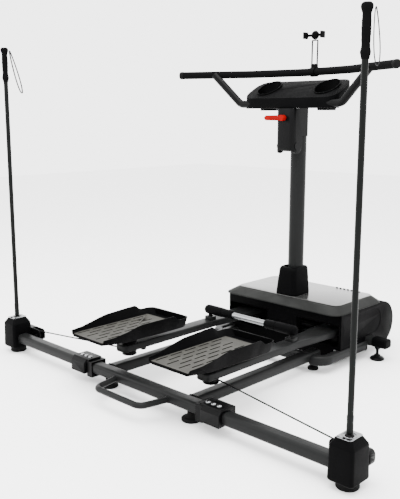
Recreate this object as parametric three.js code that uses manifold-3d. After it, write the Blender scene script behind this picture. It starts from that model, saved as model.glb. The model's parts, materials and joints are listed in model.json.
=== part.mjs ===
// Home ski simulator: a floor frame with two swinging foot arms, two folding outriggers that carry
// upright ski poles, and a tilting console on a post. Millimetres, Z up, the user faces +Y.
// Lengths along Y are given from the cross tube's axis; the whole is then centred on its own box.
import * as THREE from "three";
import { mergeVertices } from "three/addons/utils/BufferGeometryUtils.js";
import Module from "manifold-3d";

const wasm = await Module();
wasm.setup();

// Clearances and facets
const gap = 0.3;
const overrun = 6;
const mergeDistance = 0.001;
const wheelSides = 20;
const rodSides = 10;
const wireSides = 8;
const cornerSteps = 3;
const arcHalfSteps = 2;
const bendStepDegrees = 22;

// Base tubes: rounded rectangles, flat on top
const tubeWidth = 50;
const tubeHeight = 40;
const tubeCorner = 13;
const tubeWall = 2.5;
const tubeZ = 63;
const crossOverhang = 57;
const railInset = 82;
const railRearY = 720;

// Rear frame: a lower tube round the housing and a cross tube behind it
const sideTubeInset = 10;
const sideTubeWidth = 40;
const sideTubeHeight = 40;
const sideTubeZ = 55;
const sideTubeBend = 44;
const crossmemberY = 665;
const rearTubeY = 985;
const rearTubeHalf = 392;
const rearTubeHeight = 38;
const rearTubeZ = 76;
const capThickness = 6;
const capLip = 1;

// Pull handle in front of the cross tube
const handleRootX = 140;
const handleEndX = 118;
const handleReachY = 132;
const handleRadius = 11;
const handleZ = 60;
const handleBend = 30;

// Feet
const footRadius = 34;
const footHeight = 14;
const footChamfer = 4;
const footStemRadius = 13;
const frontFootOut = 1;
const frontFootY = 10;
const midFootOut = 4;
const midFootY = 700;
const midFootRadius = 22;
const rearFootInset = 47;
const rearFootRadius = 30;
const rodRadius = 6;
const nutRadius = 11;
const nutHeight = 8;

// Outrigger hinge
const blockLength = 31;
const blockFront = 29;
const blockRear = 40;
const blockBottomZ = 28;
const blockTopZ = 88;
const pinOut = 73;
const pinY = 33;
const pinRadius = 4;
const pinTopZ = 72;
const tongueHalf = 12;
const collarOut = 33;
const collarLength = 82;
const collarHalfWidth = 40;
const collarBottomZ = 38;
const collarTopZ = 92;
const collarChamfer = 13;
const collarFloor = 18;
const plateThickness = 3;
const plateOverhang = 15;
const plateFront = 27;
const plateRear = 33;
const boltOuts = [4, 28, 53];
const boltY = -6;
const boltRadius = 8;
const boltDome = 5;

// End box with the pole's ball joint
const boxOut = 562;
const boxWidth = 85;
const boxDepth = 93;
const boxCorner = 9;
const boxShoulderZ = 128;
const boxTopZ = 150;
const boxTopInset = 17;
const endFootHeight = 24;
const topPlateWidth = 50;
const topPlateDepth = 66;
const topPlateThickness = 1.5;
const ballRadius = 17;
const ballZ = 141;
const socketRadius = 22;
const socketDepth = 36;

// Pulley bracket, pulley and cable
const bracketInward = 97;
const bracketOutward = 39;
const bracketHeight = 46;
const bracketCorner = 15;
const bracketZ = 75;
const bracketPlate = 4;
const bracketDepth = 28;
const spacerInward = 37;
const pulleyInward = 69;
const pulleyZ = 66;
const pulleyRadius = 24;
const pulleyGroove = 20;
const pulleyWidth = 14;
const axleRadius = 6;
const axleHeadRadius = 10;
const axleHead = 4;
const cableRadius = 2;

// Ski pole
const poleLength = 1125;
const poleRadius = 8.8;
const poleFootRadius = 10;
const poleFootLength = 46;
const gripLength = 135;
const gripNeckRadius = 11;
const gripTopRadius = 15.5;
const gripBulgeRadius = 14;
const gripSeat = 60;
const gripMiddleRadius = 12;
const gripRingShares = [0.12, 0.24, 0.5, 0.78, 0.9, 0.94];
const strapWidth = 15;
const strapThickness = 2.2;
const strapLongs = [168, 150];
const strapReaches = [64, 48];
const strapTurnsDegrees = [44, 100];

// Foot arms, stub and tie rod
const armInward = 2.5;
const armWidth = 60;
const armHeight = 28;
const armBottomZ = 122;
const armWall = 3;
const armFrontY = 60;
const pivotY = 870;
const flareStartY = 560;
const flareEndY = 775;
const flareHalf = 52;
const armTailRadius = 46;
const stubY = 108;
const stubRadius = 28.5;
const stubBottomZ = 105;
const stubGrooveRadius = 20;
const stubFlange = 4;
const swivelRadius = 12;
const swivelTopZ = 176;
const bushRadius = 27;
const bushRise = 10;
const shaftRadius = 15;
const shaftShoulder = 24;
const shaftCapRadius = 24;
const shaftCap = 10;
const tieY = 560;
const tieZ = 192;
const tieRodRadius = 12;
const tieRodInset = 125.5;
const sleeveRadius = 20;
const sleeveOut = 27.5;
const tieBracketWidth = 40;
const tieBracketDepth = 34;
const tieBracketRise = 14;
const tiePinRadius = 8;

// Pedals
const pedalHeelY = -88;
const pedalToeY = 326;
const pedalFloorZ = 206;
const pedalWall = 3;
const treadHalf = 95;
const treadThickness = 3;
const treadSlotLength = 52;
const treadSlotWidth = 6;
const treadSlotGap = 15;
const treadRows = 7;
const treadToe = 36;
const pedalHeelZ = 223;
const pedalHeelHalf = 98;
const pedalRiseY = 16;
const pedalRiseZ = 233;
const pedalCrestFrontY = 80;
const pedalCrestRearY = 238;
const pedalCrestZ = 250;
const pedalStepY = 258;
const pedalToeZ = 230;
const pedalToeHalf = 115;
const pedalToeCorner = 34;
const pedalToeNarrow = 26;
const pedalHeelBottomZ = 200;
const pedalBottomZ = 189;
const pedalUnderShare = 0.86;
const keelFrontY = -18;
const keelRearY = 250;
const keelHalf = 62;
const keelFootFrontY = 62;
const keelFootRearY = 158;
const keelFootHalf = 34;
const keelFootZ = 166;

// Housing
const housingFrontY = 775;
const housingHalf = 300;
const housingWall = 4;
const housingDeckZ = 220;
const housingRearY = 1184;
const housingDrumY = 1096;
const housingDrumZ = 126;
const housingTailDegrees = 58;
const housingDrumSteps = 9;
const housingTailFrontY = 1020;
const apronBottomZ = 34;
const openingInward = 138.5;
const openingInset = 8;
const openingTopZ = 178;
const openingSillZ = 84;
const recessFrontY = 800;
const recessRearY = 1078;
const recessTopZ = 205;
const recessBottomZ = 100;
const recessDepth = 1.5;
const coverFrontY = 738;
const coverRearY = 1094;
const coverLip = 2;
const coverCorner = 46;
const coverSkirt = 4;
const coverRise = 24;
const coverTopFrontY = 784;
const coverTopRearY = 1074;
const coverBevel = 30;
const coverWall = 4;
const panelInset = 5;
const panelThickness = 3;
const panelCorner = 34;

// Inner frame, post and boot
const basePlateThickness = 6;
const basePlateFrontY = 790;
const basePlateRearY = 950;
const postY = 866;
const postRadius = 33;
const postWall = 2.5;
const postTopZ = 1020;
const flangeRadius = 52;
const flangeThickness = 6;
const bootHalfX = 52;
const bootFrontY = 788;
const bootRearY = 910;
const bootCorner = 20;
const bootHeight = 124;
const bootTopInset = 8;
const bootLean = 4;
const bootCrown = 14;
const bootCrownInset = 7;

// Neck, console tilt and lock lever
const neckPivotY = 795;
const neckPivotZ = 882;
const neckHalf = 45;
const neckWall = 5;
const neckFrontY = 765;
const neckRearY = 866;
const neckStepZ = 922;
const neckCorner = 20;
const tongueRadius = 31;
const mountRadius = 22;
const mountFrontY = 773;
const mountTopZ = 1012;
const mountFootZ = 875;
const mountRearY = 850;
const mountHalf = 32;
const pivotBoltRadius = 8;
const pivotHeadRadius = 17;
const pivotHead = 2;
const leverZ = 996;
const leverHubRadius = 12;
const leverHubLength = 20;
const leverWasher = 4;
const leverWasherRadius = 11;
const leverScrewRadius = 5;
const leverArm = 91;
const leverRootInset = 1;
const leverTipHalf = 10;
const leverArmThickness = 15;

// Handlebar and its support tube
const barRadius = 15.5;
const barWall = 2;
const barZ = 1180;
const barHalf = 532;
const barPoints = [[0, 893], [253, 846], [400, 764], [barHalf, 700]];
const barBend = 150;
const barPlug = 7;
const wireHoleRadius = 4;
const supportY = 790;
const supportZ = 1053;
const supportTurnOut = 19;
const supportEndX = 388;
const supportEndY = 765;
const supportBend = 42;

// Tray with two cups
const trayHalf = 236;
const trayFrontY = 773;
const trayLip = 3;
const trayFrontHeight = 7;
const trayHeelY = 806;
const trayBackY = 905;
const trayBackTopZ = 1148;
const trayBackHeight = 26;
const trayCorner = 48;
const cupX = 146;
const cupY = 848;
const cupRimRadius = 50;
const cupFloorRadius = 33;
const cupFloorZ = 1026;
const cupFlareZ = 1095;
const cupWall = 3;
const cupRim = 3;

// Phone holder
const phoneX = 57;
const clipHalf = 14;
const clipWall = 4;
const clipRise = 20;
const standHalf = 15;
const standBar = 4;
const standThickness = 5;
const standHeight = 98;
const hubRadius = 18;
const hubSides = 16;
const hubDepthShare = 0.6;
const jawLength = 46;
const jawHalf = 5;
const jawDepth = 3;
const jawPad = 9;
const jawPadHalf = 13;
const jawPadReach = 21;
const jawTail = 9;

// Overall box along Y, for the origin
const frontReach = handleReachY + handleRadius;
const middleY = (housingRearY - frontReach) / 2;

// Places that follow the housing, the rails, the rear tube and the tray
const sideTubeX = housingHalf - sideTubeInset;
const railX = housingHalf - railInset;
const crossHalf = railX + crossOverhang;
const frontFootX = railX + frontFootOut;
const midFootX = railX + midFootOut;
const armX = railX - armInward;
const tieRodHalf = armX - tieRodInset;
const sleeveEndX = armX + sleeveOut;
const supportTurnX = trayHalf + supportTurnOut;
const rearFootX = rearTubeHalf - rearFootInset;
const pinX = crossHalf + pinOut;
const collarStart = crossHalf + collarOut;
const collarEnd = collarStart + collarLength;
const plateInnerX = collarStart - plateOverhang;
const boltXs = boltOuts.map((out) => collarStart + out);
const boxX = crossHalf + boxOut;
const bracketInnerX = boxX - bracketInward;
const bracketOuterX = boxX + bracketOutward;
const bracketSpacerX = boxX - spacerInward;
const pulleyX = boxX - pulleyInward;
const openingInnerX = armX - openingInward;
const openingOuterX = housingHalf - openingInset;
const coverHalf = housingHalf + coverLip;
const coverTopHalf = coverHalf - coverBevel;

// Finishes
function finish(colour, roughness, metalness) {
  return new THREE.MeshStandardMaterial({ color: colour, roughness, metalness });
}
const framePaint = finish(0x4a4c4d, 0.45, 0.4);
const blackPlastic = finish(0x1b1c1d, 0.55, 0);
const blackSteel = finish(0x17181a, 0.4, 0.3);
const rubber = finish(0x141414, 0.9, 0);
const chrome = finish(0xd6d9da, 0.15, 1);
const silverPanel = finish(0xb4b4ae, 0.35, 0.7);
const treadGrey = finish(0x9a9a90, 0.8, 0);
const carbon = finish(0x303433, 0.4, 0.2);
const redPlastic = finish(0xd4231c, 0.4, 0);
const foam = finish(0x1c1c1d, 0.95, 0);

// Closed, outward-facing, position-only geometry
function signedVolume(positions, index) {
  const [a, b, c] = [new THREE.Vector3(), new THREE.Vector3(), new THREE.Vector3()];
  let sum = 0;
  for (let i = 0; i < index.length; i += 3) {
    a.fromArray(positions, 3 * index[i]);
    b.fromArray(positions, 3 * index[i + 1]);
    c.fromArray(positions, 3 * index[i + 2]);
    sum += a.dot(b.cross(c));
  }
  return sum;
}

function closed(geometry) {
  const flat = geometry.index ? geometry.toNonIndexed() : geometry;
  const bare = new THREE.BufferGeometry();
  bare.setAttribute("position", flat.getAttribute("position"));
  const merged = mergeVertices(bare, mergeDistance);
  const all = merged.index.array;
  const index = [];
  for (let i = 0; i < all.length; i += 3) {
    const [a, b, c] = [all[i], all[i + 1], all[i + 2]];
    if (a !== b && b !== c && c !== a) index.push(a, b, c);
  }
  if (signedVolume(merged.getAttribute("position").array, index) < 0) index.reverse();
  return merged.setIndex(index);
}

function solid(geometry) {
  const shell = closed(geometry);
  const vertProperties = shell.getAttribute("position").array;
  const triVerts = new Uint32Array(shell.index.array);
  return new wasm.Manifold(new wasm.Mesh({ numProp: 3, vertProperties, triVerts }));
}

function surfaceOf(body) {
  const mesh = body.getMesh();
  const geometry = new THREE.BufferGeometry();
  geometry.setAttribute("position", new THREE.BufferAttribute(mesh.vertProperties, 3));
  return geometry.setIndex(new THREE.BufferAttribute(mesh.triVerts, 1));
}

const joined = (...geometries) => geometries.map(solid).reduce((all, next) => all.add(next));
const cut = (body, ...tools) => tools.map(solid).reduce((left, tool) => left.subtract(tool), body);

// Outlines
function roundedRectangle(width, height, radius, centreU = 0, centreV = 0) {
  const [u, v] = [width / 2 - radius, height / 2 - radius];
  const shape = new THREE.Shape();
  shape.absarc(centreU + u, centreV - v, radius, -Math.PI / 2, 0);
  shape.absarc(centreU + u, centreV + v, radius, 0, Math.PI / 2);
  shape.absarc(centreU - u, centreV + v, radius, Math.PI / 2, Math.PI);
  shape.absarc(centreU - u, centreV - v, radius, Math.PI, 1.5 * Math.PI);
  return shape;
}

function hollowRectangle(width, height, radius, wall, centreU = 0, centreV = 0) {
  const shape = roundedRectangle(width, height, radius, centreU, centreV);
  const [w, h] = [width - 2 * wall, height - 2 * wall];
  shape.holes.push(roundedRectangle(w, h, radius - wall, centreU, centreV));
  return shape;
}

function polygon(points) {
  return new THREE.Shape(points.map(([u, v]) => new THREE.Vector2(u, v)));
}

function rectangle(u0, u1, v0, v1) {
  return polygon([[u0, v0], [u1, v0], [u1, v1], [u0, v1]]);
}

// A bar with round ends from one centre to another
function stadium([u0, v0], [u1, v1], radius) {
  const along = Math.atan2(v1 - v0, u1 - u0);
  const shape = new THREE.Shape();
  shape.absarc(u1, v1, radius, along - Math.PI / 2, along);
  shape.absarc(u1, v1, radius, along, along + Math.PI / 2);
  shape.absarc(u0, v0, radius, along + Math.PI / 2, along + Math.PI);
  shape.absarc(u0, v0, radius, along + Math.PI, along + 1.5 * Math.PI);
  return shape;
}

function disc(radius, sides, centreU = 0, centreV = 0) {
  const points = [];
  for (let i = 0; i < sides; i += 1) {
    const angle = (2 * Math.PI * i) / sides;
    points.push([centreU + radius * Math.cos(angle), centreV + radius * Math.sin(angle)]);
  }
  return polygon(points);
}

function ring(outer, inner, sides) {
  const shape = disc(outer, sides);
  shape.holes.push(disc(inner, sides));
  return shape;
}

// Outline (u, v) and height w become (x, y, z) for axis z, (w, u, v) for axis x, (u, w, v) for axis y
function turned(geometry, axis) {
  const matrix = new THREE.Matrix4();
  if (axis === "x") matrix.set(0, 0, 1, 0, 1, 0, 0, 0, 0, 1, 0, 0, 0, 0, 0, 1);
  if (axis === "y") matrix.set(1, 0, 0, 0, 0, 0, 1, 0, 0, 1, 0, 0, 0, 0, 0, 1);
  return geometry.applyMatrix4(matrix);
}

function prism(shape, axis, from, to) {
  const options = { depth: to - from, bevelEnabled: false, curveSegments: arcHalfSteps };
  const geometry = new THREE.ExtrudeGeometry(shape, options);
  return turned(geometry.translate(0, 0, from), axis);
}

function block(x0, x1, y0, y1, z0, z1) {
  return prism(rectangle(x0, x1, y0, y1), "z", z0, z1);
}

// Profile points are [radius, height along the axis]
function turning(profile, axis, sides) {
  const points = profile.map(([radius, height]) => new THREE.Vector2(radius, height));
  return turned(new THREE.LatheGeometry(points, sides).rotateX(Math.PI / 2), axis);
}

function rod(radius, axis, from, to, sides) {
  return turning([[0, from], [radius, from], [radius, to], [0, to]], axis, sides);
}

// A hole whose flats clear a shaft of that radius at every angle
function bore(radius, axis, from, to, sides) {
  return rod((radius + gap) / Math.cos(Math.PI / sides), axis, from, to, sides);
}

// Convex rings with equal counts of points, skinned in order and capped at both ends
function loft(rings) {
  const count = rings[0].length;
  const last = (rings.length - 1) * count;
  const index = [];
  for (let r = 0; r + 1 < rings.length; r += 1) {
    for (let i = 0; i < count; i += 1) {
      const [a, b] = [r * count + i, r * count + ((i + 1) % count)];
      index.push(a, b, b + count, a, b + count, a + count);
    }
  }
  for (let i = 1; i + 1 < count; i += 1) index.push(0, i + 1, i, last, last + i, last + i + 1);
  const geometry = new THREE.BufferGeometry();
  geometry.setAttribute("position", new THREE.Float32BufferAttribute(rings.flat(2), 3));
  return geometry.setIndex(index);
}

// A rounded rectangle's outline as a ring at one height
function levelRing(halfX, halfY, corner, z, centreX = 0, centreY = 0) {
  const shape = roundedRectangle(2 * halfX, 2 * halfY, corner, centreX, centreY);
  return shape.getPoints(arcHalfSteps).map((p) => [p.x, p.y, z]);
}

// Bent tubes: stations along straight runs and round bends, so that straight runs cost nothing
class Route extends THREE.Curve {
  constructor(corners, bend) {
    super();
    const points = corners.map((corner) => new THREE.Vector3(...corner));
    this.stations = [];
    points.forEach((point, i) => {
      const before = points[i - 1];
      const after = points[i + 1];
      const into = before ? point.clone().sub(before).normalize() : null;
      const out = after ? after.clone().sub(point).normalize() : null;
      if (!into || !out) {
        this.stations.push([point, into || out]);
        return;
      }
      const angle = into.angleTo(out);
      const reach = bend * Math.tan(angle / 2);
      const inward = out.clone().sub(into).normalize();
      const centre = point.clone().addScaledVector(inward, bend / Math.cos(angle / 2));
      const axis = into.clone().cross(out).normalize();
      const first = point.clone().addScaledVector(into, -reach).sub(centre);
      const steps = Math.ceil(THREE.MathUtils.radToDeg(angle) / bendStepDegrees);
      for (let k = 0; k <= steps; k += 1) {
        const turn = (angle * k) / steps;
        const at = first.clone().applyAxisAngle(axis, turn).add(centre);
        this.stations.push([at, into.clone().applyAxisAngle(axis, turn)]);
      }
    });
  }

  get steps() {
    return this.stations.length - 1;
  }

  getPointAt(u, target = new THREE.Vector3()) {
    return target.copy(this.stations[Math.round(u * this.steps)][0]);
  }

  getTangentAt(u, target = new THREE.Vector3()) {
    return target.copy(this.stations[Math.round(u * this.steps)][1]);
  }
}

function bentTube(corners, bend, section) {
  const path = new Route(corners, bend);
  const options = { extrudePath: path, steps: path.steps, curveSegments: arcHalfSteps };
  return new THREE.ExtrudeGeometry(section, options);
}

// Scene graph: left and right share one description, the left being its mirror image
const whole = new THREE.Group();
whole.position.y = -middleY;
const halves = [["left", -1], ["right", 1]].map(([name, sign]) => {
  const group = new THREE.Group();
  group.scale.x = sign;
  whole.add(group);
  return { name, sign, group };
});

function place(name, shape, material, parent = whole) {
  const geometry = shape.isBufferGeometry ? closed(shape) : surfaceOf(shape);
  const mesh = new THREE.Mesh(geometry, material);
  mesh.name = name;
  parent.add(mesh);
}

// Base frame
const tubeBottomZ = tubeZ - tubeHeight / 2;
const tubeSection = hollowRectangle(tubeWidth, tubeHeight, tubeCorner, tubeWall, 0, tubeZ);

function addCrossTube() {
  place("cross_tube", prism(tubeSection, "x", -crossHalf, crossHalf), framePaint);
}

// Each rail is welded to the lower side tube that runs back past the housing
function addRail({ name, group }) {
  const section = hollowRectangle(tubeWidth, tubeHeight, tubeCorner, tubeWall, railX, tubeZ);
  const plug = roundedRectangle(tubeWidth, tubeHeight, tubeCorner, railX, tubeZ);
  const sideSection = hollowRectangle(sideTubeHeight, sideTubeWidth, tubeCorner, tubeWall);
  const start = [railOuterX - tubeWall / 2, crossmemberY, sideTubeZ];
  const corner = [sideTubeX, crossmemberY, sideTubeZ];
  const end = [sideTubeX, rearTubeFrontY - gap, sideTubeZ];
  const rail = joined(
    prism(section, "y", tubeWidth / 2 + gap, railRearY),
    prism(plug, "y", railRearY - tubeWall, railRearY + tubeWall / 2),
    bentTube([start, corner, end], sideTubeBend, sideSection),
  );
  place(name + "_rail", rail, framePaint, group);
}

// Rear frame
const railOuterX = railX + tubeWidth / 2;
const railInnerX = railX - tubeWidth / 2;
const rearTubeFrontY = rearTubeY - tubeWidth / 2;
const rearTubeTopZ = rearTubeZ + rearTubeHeight / 2;
const rearTubeBottomZ = rearTubeZ - rearTubeHeight / 2;
const sideTubeTopZ = sideTubeZ + sideTubeHeight / 2;

function addRearFrame() {
  const sizes = [sideTubeWidth, sideTubeHeight, tubeCorner, tubeWall];
  const section = hollowRectangle(...sizes, crossmemberY, sideTubeZ);
  const half = railInnerX - gap;
  place("rear_crossmember", prism(section, "x", -half, half), framePaint);
  const rearSection = hollowRectangle(tubeWidth, rearTubeHeight, tubeCorner, tubeWall, rearTubeY, rearTubeZ);
  const cap = roundedRectangle(tubeWidth + capLip, rearTubeHeight + capLip, tubeCorner, rearTubeY, rearTubeZ);
  const capFrom = rearTubeHalf - tubeWall;
  const tube = joined(
    prism(rearSection, "x", -rearTubeHalf, rearTubeHalf),
    prism(cap, "x", -capFrom - capThickness, -capFrom),
    prism(cap, "x", capFrom, capFrom + capThickness),
  );
  const bores = [-rearFootX, rearFootX].map((x) => {
    return bore(rodRadius, "z", 0, rearTubeZ, wheelSides).translate(x, rearTubeY, 0);
  });
  place("rear_cross_tube", cut(tube, ...bores), framePaint);
}

// Pull handle: a bent rod whose ends meet the cross tube's front face
function addPullHandle() {
  const rootY = -tubeWidth / 2 - gap;
  const corners = [
    [-handleRootX, rootY, handleZ],
    [-handleEndX, -handleReachY, handleZ],
    [handleEndX, -handleReachY, handleZ],
    [handleRootX, rootY, handleZ],
  ];
  const tube = bentTube(corners, handleBend, ring(handleRadius, handleRadius - tubeWall, rodSides));
  const behind = block(-crossHalf, crossHalf, rootY, tubeWidth, 0, 2 * tubeZ);
  place("pull_handle", cut(solid(tube), behind), framePaint);
}

// Feet
function footProfile(radius, stemTopZ) {
  return [
    [0, 0],
    [radius - footChamfer / 2, 0],
    [radius, footChamfer],
    [radius, footHeight - footChamfer],
    [radius - footChamfer, footHeight],
    [footStemRadius, footHeight],
    [footStemRadius, stemTopZ],
    [0, stemTopZ],
  ];
}

function addFeet({ name, group }) {
  const front = turning(footProfile(footRadius, tubeBottomZ - gap), "z", wheelSides);
  place(name + "_front_foot", front.translate(frontFootX, frontFootY, 0), rubber, group);
  const mid = turning(footProfile(midFootRadius, tubeBottomZ - gap), "z", wheelSides);
  place(name + "_mid_foot", mid.translate(midFootX, midFootY, 0), rubber, group);
}

function addLeveller({ name, group }) {
  const nutBottomZ = rearTubeBottomZ - gap - nutHeight;
  const profile = [
    [0, 0],
    [rearFootRadius - footChamfer / 2, 0],
    [rearFootRadius, footChamfer],
    [rearFootRadius, footHeight - footChamfer],
    [footStemRadius, footHeight],
    [rodRadius, footHeight + footChamfer],
    [rodRadius, nutBottomZ],
    [nutRadius, nutBottomZ],
    [nutRadius, nutBottomZ + nutHeight],
    [rodRadius, nutBottomZ + nutHeight],
    [rodRadius, rearTubeZ],
    [0, rearTubeZ],
  ];
  const foot = turning(profile, "z", wheelSides).translate(rearFootX, rearTubeY, 0);
  place(name + "_rear_foot", foot, blackSteel, group);
}

// Outrigger hinge: the block and its tongue stay on the cross tube, the collar turns about the pin
const blockStartX = crossHalf + gap;

function addHingeBlock({ name, group }) {
  const body = block(blockStartX, blockStartX + blockLength, -blockFront, blockRear, blockBottomZ, blockTopZ);
  const root = [blockStartX + tongueHalf, pinY - tongueHalf];
  const tongue = prism(stadium(root, [pinX, pinY], tongueHalf), "z", blockBottomZ, collarBottomZ - gap);
  const pin = rod(pinRadius, "z", blockBottomZ, pinTopZ, rodSides).translate(pinX, pinY, 0);
  place(name + "_hinge_block", joined(body, tongue, pin), blackSteel, group);
}

function addCollar({ name, group }) {
  const section = polygon([
    [-collarHalfWidth, collarBottomZ],
    [collarHalfWidth, collarBottomZ],
    [collarHalfWidth, collarTopZ],
    [-collarHalfWidth + collarChamfer, collarTopZ],
    [-collarHalfWidth, collarTopZ - collarChamfer],
  ]);
  const body = prism(section, "x", collarStart, collarEnd);
  const pinBore = bore(pinRadius, "z", 0, pinTopZ + gap, rodSides).translate(pinX, pinY, 0);
  const tubeBore = roundedRectangle(tubeWidth + 2 * gap, tubeHeight + 2 * gap, tubeCorner, 0, tubeZ);
  const tunnel = prism(tubeBore, "x", collarStart + collarFloor, collarEnd + overrun);
  const collar = cut(solid(body), pinBore, tunnel);
  place(name + "_hinge_collar", collar.add(joined(...topPlate())), blackSteel, group);
}

// Plate over the collar with three domed bolts
function topPlate() {
  const top = collarTopZ + plateThickness;
  const outline = rectangle(plateInnerX, collarEnd - plateThickness, -plateFront, plateRear);
  const profile = [
    [0, collarTopZ],
    [boltRadius, collarTopZ],
    [boltRadius, top + plateThickness / 2],
    [boltRadius / 2, top + boltDome],
    [0, top + boltDome],
  ];
  const bolts = boltXs.map((x) => turning(profile, "z", rodSides).translate(x, boltY, 0));
  return [prism(outline, "z", collarTopZ - plateThickness / 2, top), ...bolts];
}

// Outrigger tube and end box
const boxInnerX = boxX - boxWidth / 2;
const boxRearY = boxDepth / 2;

function addOutriggerTube({ name, group }) {
  const from = collarStart + collarFloor + gap;
  place(name + "_outrigger_tube", prism(tubeSection, "x", from, boxInnerX - gap), framePaint, group);
}

function addEndBox({ name, group }) {
  const [halfX, halfY] = [boxWidth / 2, boxRearY];
  const shell = loft([
    levelRing(halfX, halfY, boxCorner, endFootHeight, boxX),
    levelRing(halfX, halfY, boxCorner, boxShoulderZ, boxX),
    levelRing(halfX - boxTopInset / 2, halfY - boxTopInset / 2, boxCorner, boxTopZ - boxTopInset / 2, boxX),
    levelRing(halfX - boxTopInset, halfY - boxTopInset, boxCorner, boxTopZ, boxX),
  ]);
  const socketFloor = boxTopZ - socketDepth;
  const well = bore(socketRadius, "z", socketFloor - gap, boxTopZ + overrun, wheelSides);
  const foot = [
    [0, 0],
    [footRadius - footChamfer, 0],
    [footRadius, footChamfer],
    [footRadius, endFootHeight + footChamfer],
    [0, endFootHeight + footChamfer],
  ];
  const box = joined(shell, turning(foot, "z", wheelSides).translate(boxX, 0, 0));
  place(name + "_end_box", cut(box, well.translate(boxX, 0, 0)), blackPlastic, group);
  const plateTopZ = boxTopZ + gap + topPlateThickness;
  const seat = (ballRadius + gap) / Math.cos(Math.PI / wheelSides);
  const cup = [[0, socketFloor], [socketRadius, socketFloor], [socketRadius, plateTopZ], [seat, plateTopZ]];
  for (let k = 0; k <= 2 * cornerSteps; k += 1) {
    const angle = (Math.PI / 2) * (k / (2 * cornerSteps));
    cup.push([seat * Math.cos(angle), ballZ - seat * Math.sin(angle)]);
  }
  const plate = roundedRectangle(topPlateWidth, topPlateDepth, boxCorner, boxX, 0);
  plate.holes.push(disc((seat + socketRadius) / 2, wheelSides, boxX, 0));
  const socket = joined(
    turning(cup, "z", wheelSides).translate(boxX, 0, 0),
    prism(plate, "z", plateTopZ - topPlateThickness, plateTopZ),
  );
  place(name + "_ball_socket", socket, chrome, group);
}

// Pulley bracket: two plates with a spacer beside the end box, and the pulley on its axle
const bracketY = boxRearY + gap;
const bracketRearY = bracketY + bracketDepth;
const pulleyY = (bracketY + bracketRearY) / 2;

function addPulley({ name, group }) {
  const [width, centre] = [bracketOuterX - bracketInnerX, (bracketOuterX + bracketInnerX) / 2];
  const outline = roundedRectangle(width, bracketHeight, bracketCorner, centre, bracketZ);
  const body = prism(outline, "y", bracketY, bracketRearY);
  const [slotFront, slotRear] = [bracketY + bracketPlate, bracketRearY - bracketPlate];
  const slot = block(0, bracketSpacerX, slotFront, slotRear, 0, 2 * bracketZ);
  const axle = [
    [0, bracketY - gap - axleHead],
    [axleHeadRadius, bracketY - gap - axleHead],
    [axleHeadRadius, bracketY + gap],
    [axleRadius, bracketY + gap],
    [axleRadius, bracketRearY + axleHead],
    [0, bracketRearY + axleHead],
  ];
  const pin = turning(axle, "y", rodSides).translate(pulleyX, 0, pulleyZ);
  place(name + "_pulley_bracket", cut(solid(body), slot).add(solid(pin)), blackSteel, group);
  const [from, to] = [pulleyY - pulleyWidth / 2, pulleyY + pulleyWidth / 2];
  const wheel = [
    [axleRadius + gap, from],
    [pulleyRadius, from],
    [pulleyGroove, pulleyY - cableRadius],
    [pulleyGroove, pulleyY + cableRadius],
    [pulleyRadius, to],
    [axleRadius + gap, to],
    [axleRadius + gap, from],
  ];
  const pulley = turning(wheel, "y", wheelSides).translate(pulleyX, 0, pulleyZ);
  place(name + "_pulley", pulley, blackPlastic, group);
}

// Cable: straight from the stub's groove to the top of the pulley
const stubGrooveZ = (stubBottomZ + armBottomZ - gap) / 2;

function addCable({ name, group }) {
  const section = disc(cableRadius, wireSides);
  const start = [armX + stubRadius + gap, stubY + stubGrooveRadius - cableRadius, stubGrooveZ];
  const end = [pulleyX, pulleyY, pulleyZ + pulleyGroove + cableRadius + gap];
  place(name + "_cable", bentTube([start, end], 0, section), blackSteel, group);
}

// Ski pole
const poleBaseZ = ballZ + ballRadius + gap;
const poleTopZ = boxTopZ + poleLength;
const gripBottomZ = poleTopZ - gripLength;

function addPole({ name, sign, group }, i) {
  const ball = new THREE.SphereGeometry(ballRadius, wheelSides, wheelSides / 2).rotateX(Math.PI / 2);
  place(name + "_pole_ball", ball.translate(boxX, 0, ballZ), blackSteel, group);
  const shaft = [
    [0, poleBaseZ],
    [poleFootRadius, poleBaseZ],
    [poleFootRadius, poleBaseZ + poleFootLength / 2],
    [poleRadius, poleBaseZ + poleFootLength],
    [poleRadius, gripBottomZ + gripSeat],
    [0, gripBottomZ + gripSeat],
  ];
  place(name + "_pole_shaft", turning(shaft, "z", rodSides).translate(boxX, 0, 0), carbon, group);
  const levels = gripRingShares.map((share) => gripBottomZ + gripLength * share);
  const [bulgeZ, waistZ, middleZ, upperZ, headZ, tipZ] = levels;
  const grip = [
    [poleRadius + gap, gripBottomZ],
    [gripNeckRadius, gripBottomZ],
    [gripBulgeRadius, bulgeZ],
    [gripNeckRadius, waistZ],
    [gripMiddleRadius, middleZ],
    [gripNeckRadius, upperZ],
    [gripTopRadius, headZ],
    [gripTopRadius, tipZ],
    [gripNeckRadius, poleTopZ],
    [0, poleTopZ],
    [0, gripBottomZ + gripSeat + gap],
    [poleRadius + gap, gripBottomZ + gripSeat + gap],
    [poleRadius + gap, gripBottomZ],
  ];
  place(name + "_pole_grip", turning(grip, "z", wheelSides).translate(boxX, 0, 0), foam, group);
  addStrap(name, sign, group, (headZ + tipZ) / 2, i);
}

// A wrist strap's loop hangs from the grip's head, away from the pole
function addStrap(name, sign, group, seatZ, i) {
  const radius = strapWidth / 2 + strapThickness;
  const top = [gripTopRadius + gap / 2 + radius, seatZ];
  const bottom = [strapReaches[i], top[1] - strapLongs[i]];
  const loop = stadium(top, bottom, radius);
  loop.holes.push(stadium(top, bottom, radius - strapThickness));
  const turn = THREE.MathUtils.degToRad(strapTurnsDegrees[i]);
  const strap = prism(loop, "y", -strapWidth / 2, strapWidth / 2);
  strap.rotateZ(sign > 0 ? turn : Math.PI - turn).translate(boxX, 0, 0);
  place(name + "_wrist_strap", strap, blackPlastic, group);
}

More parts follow.
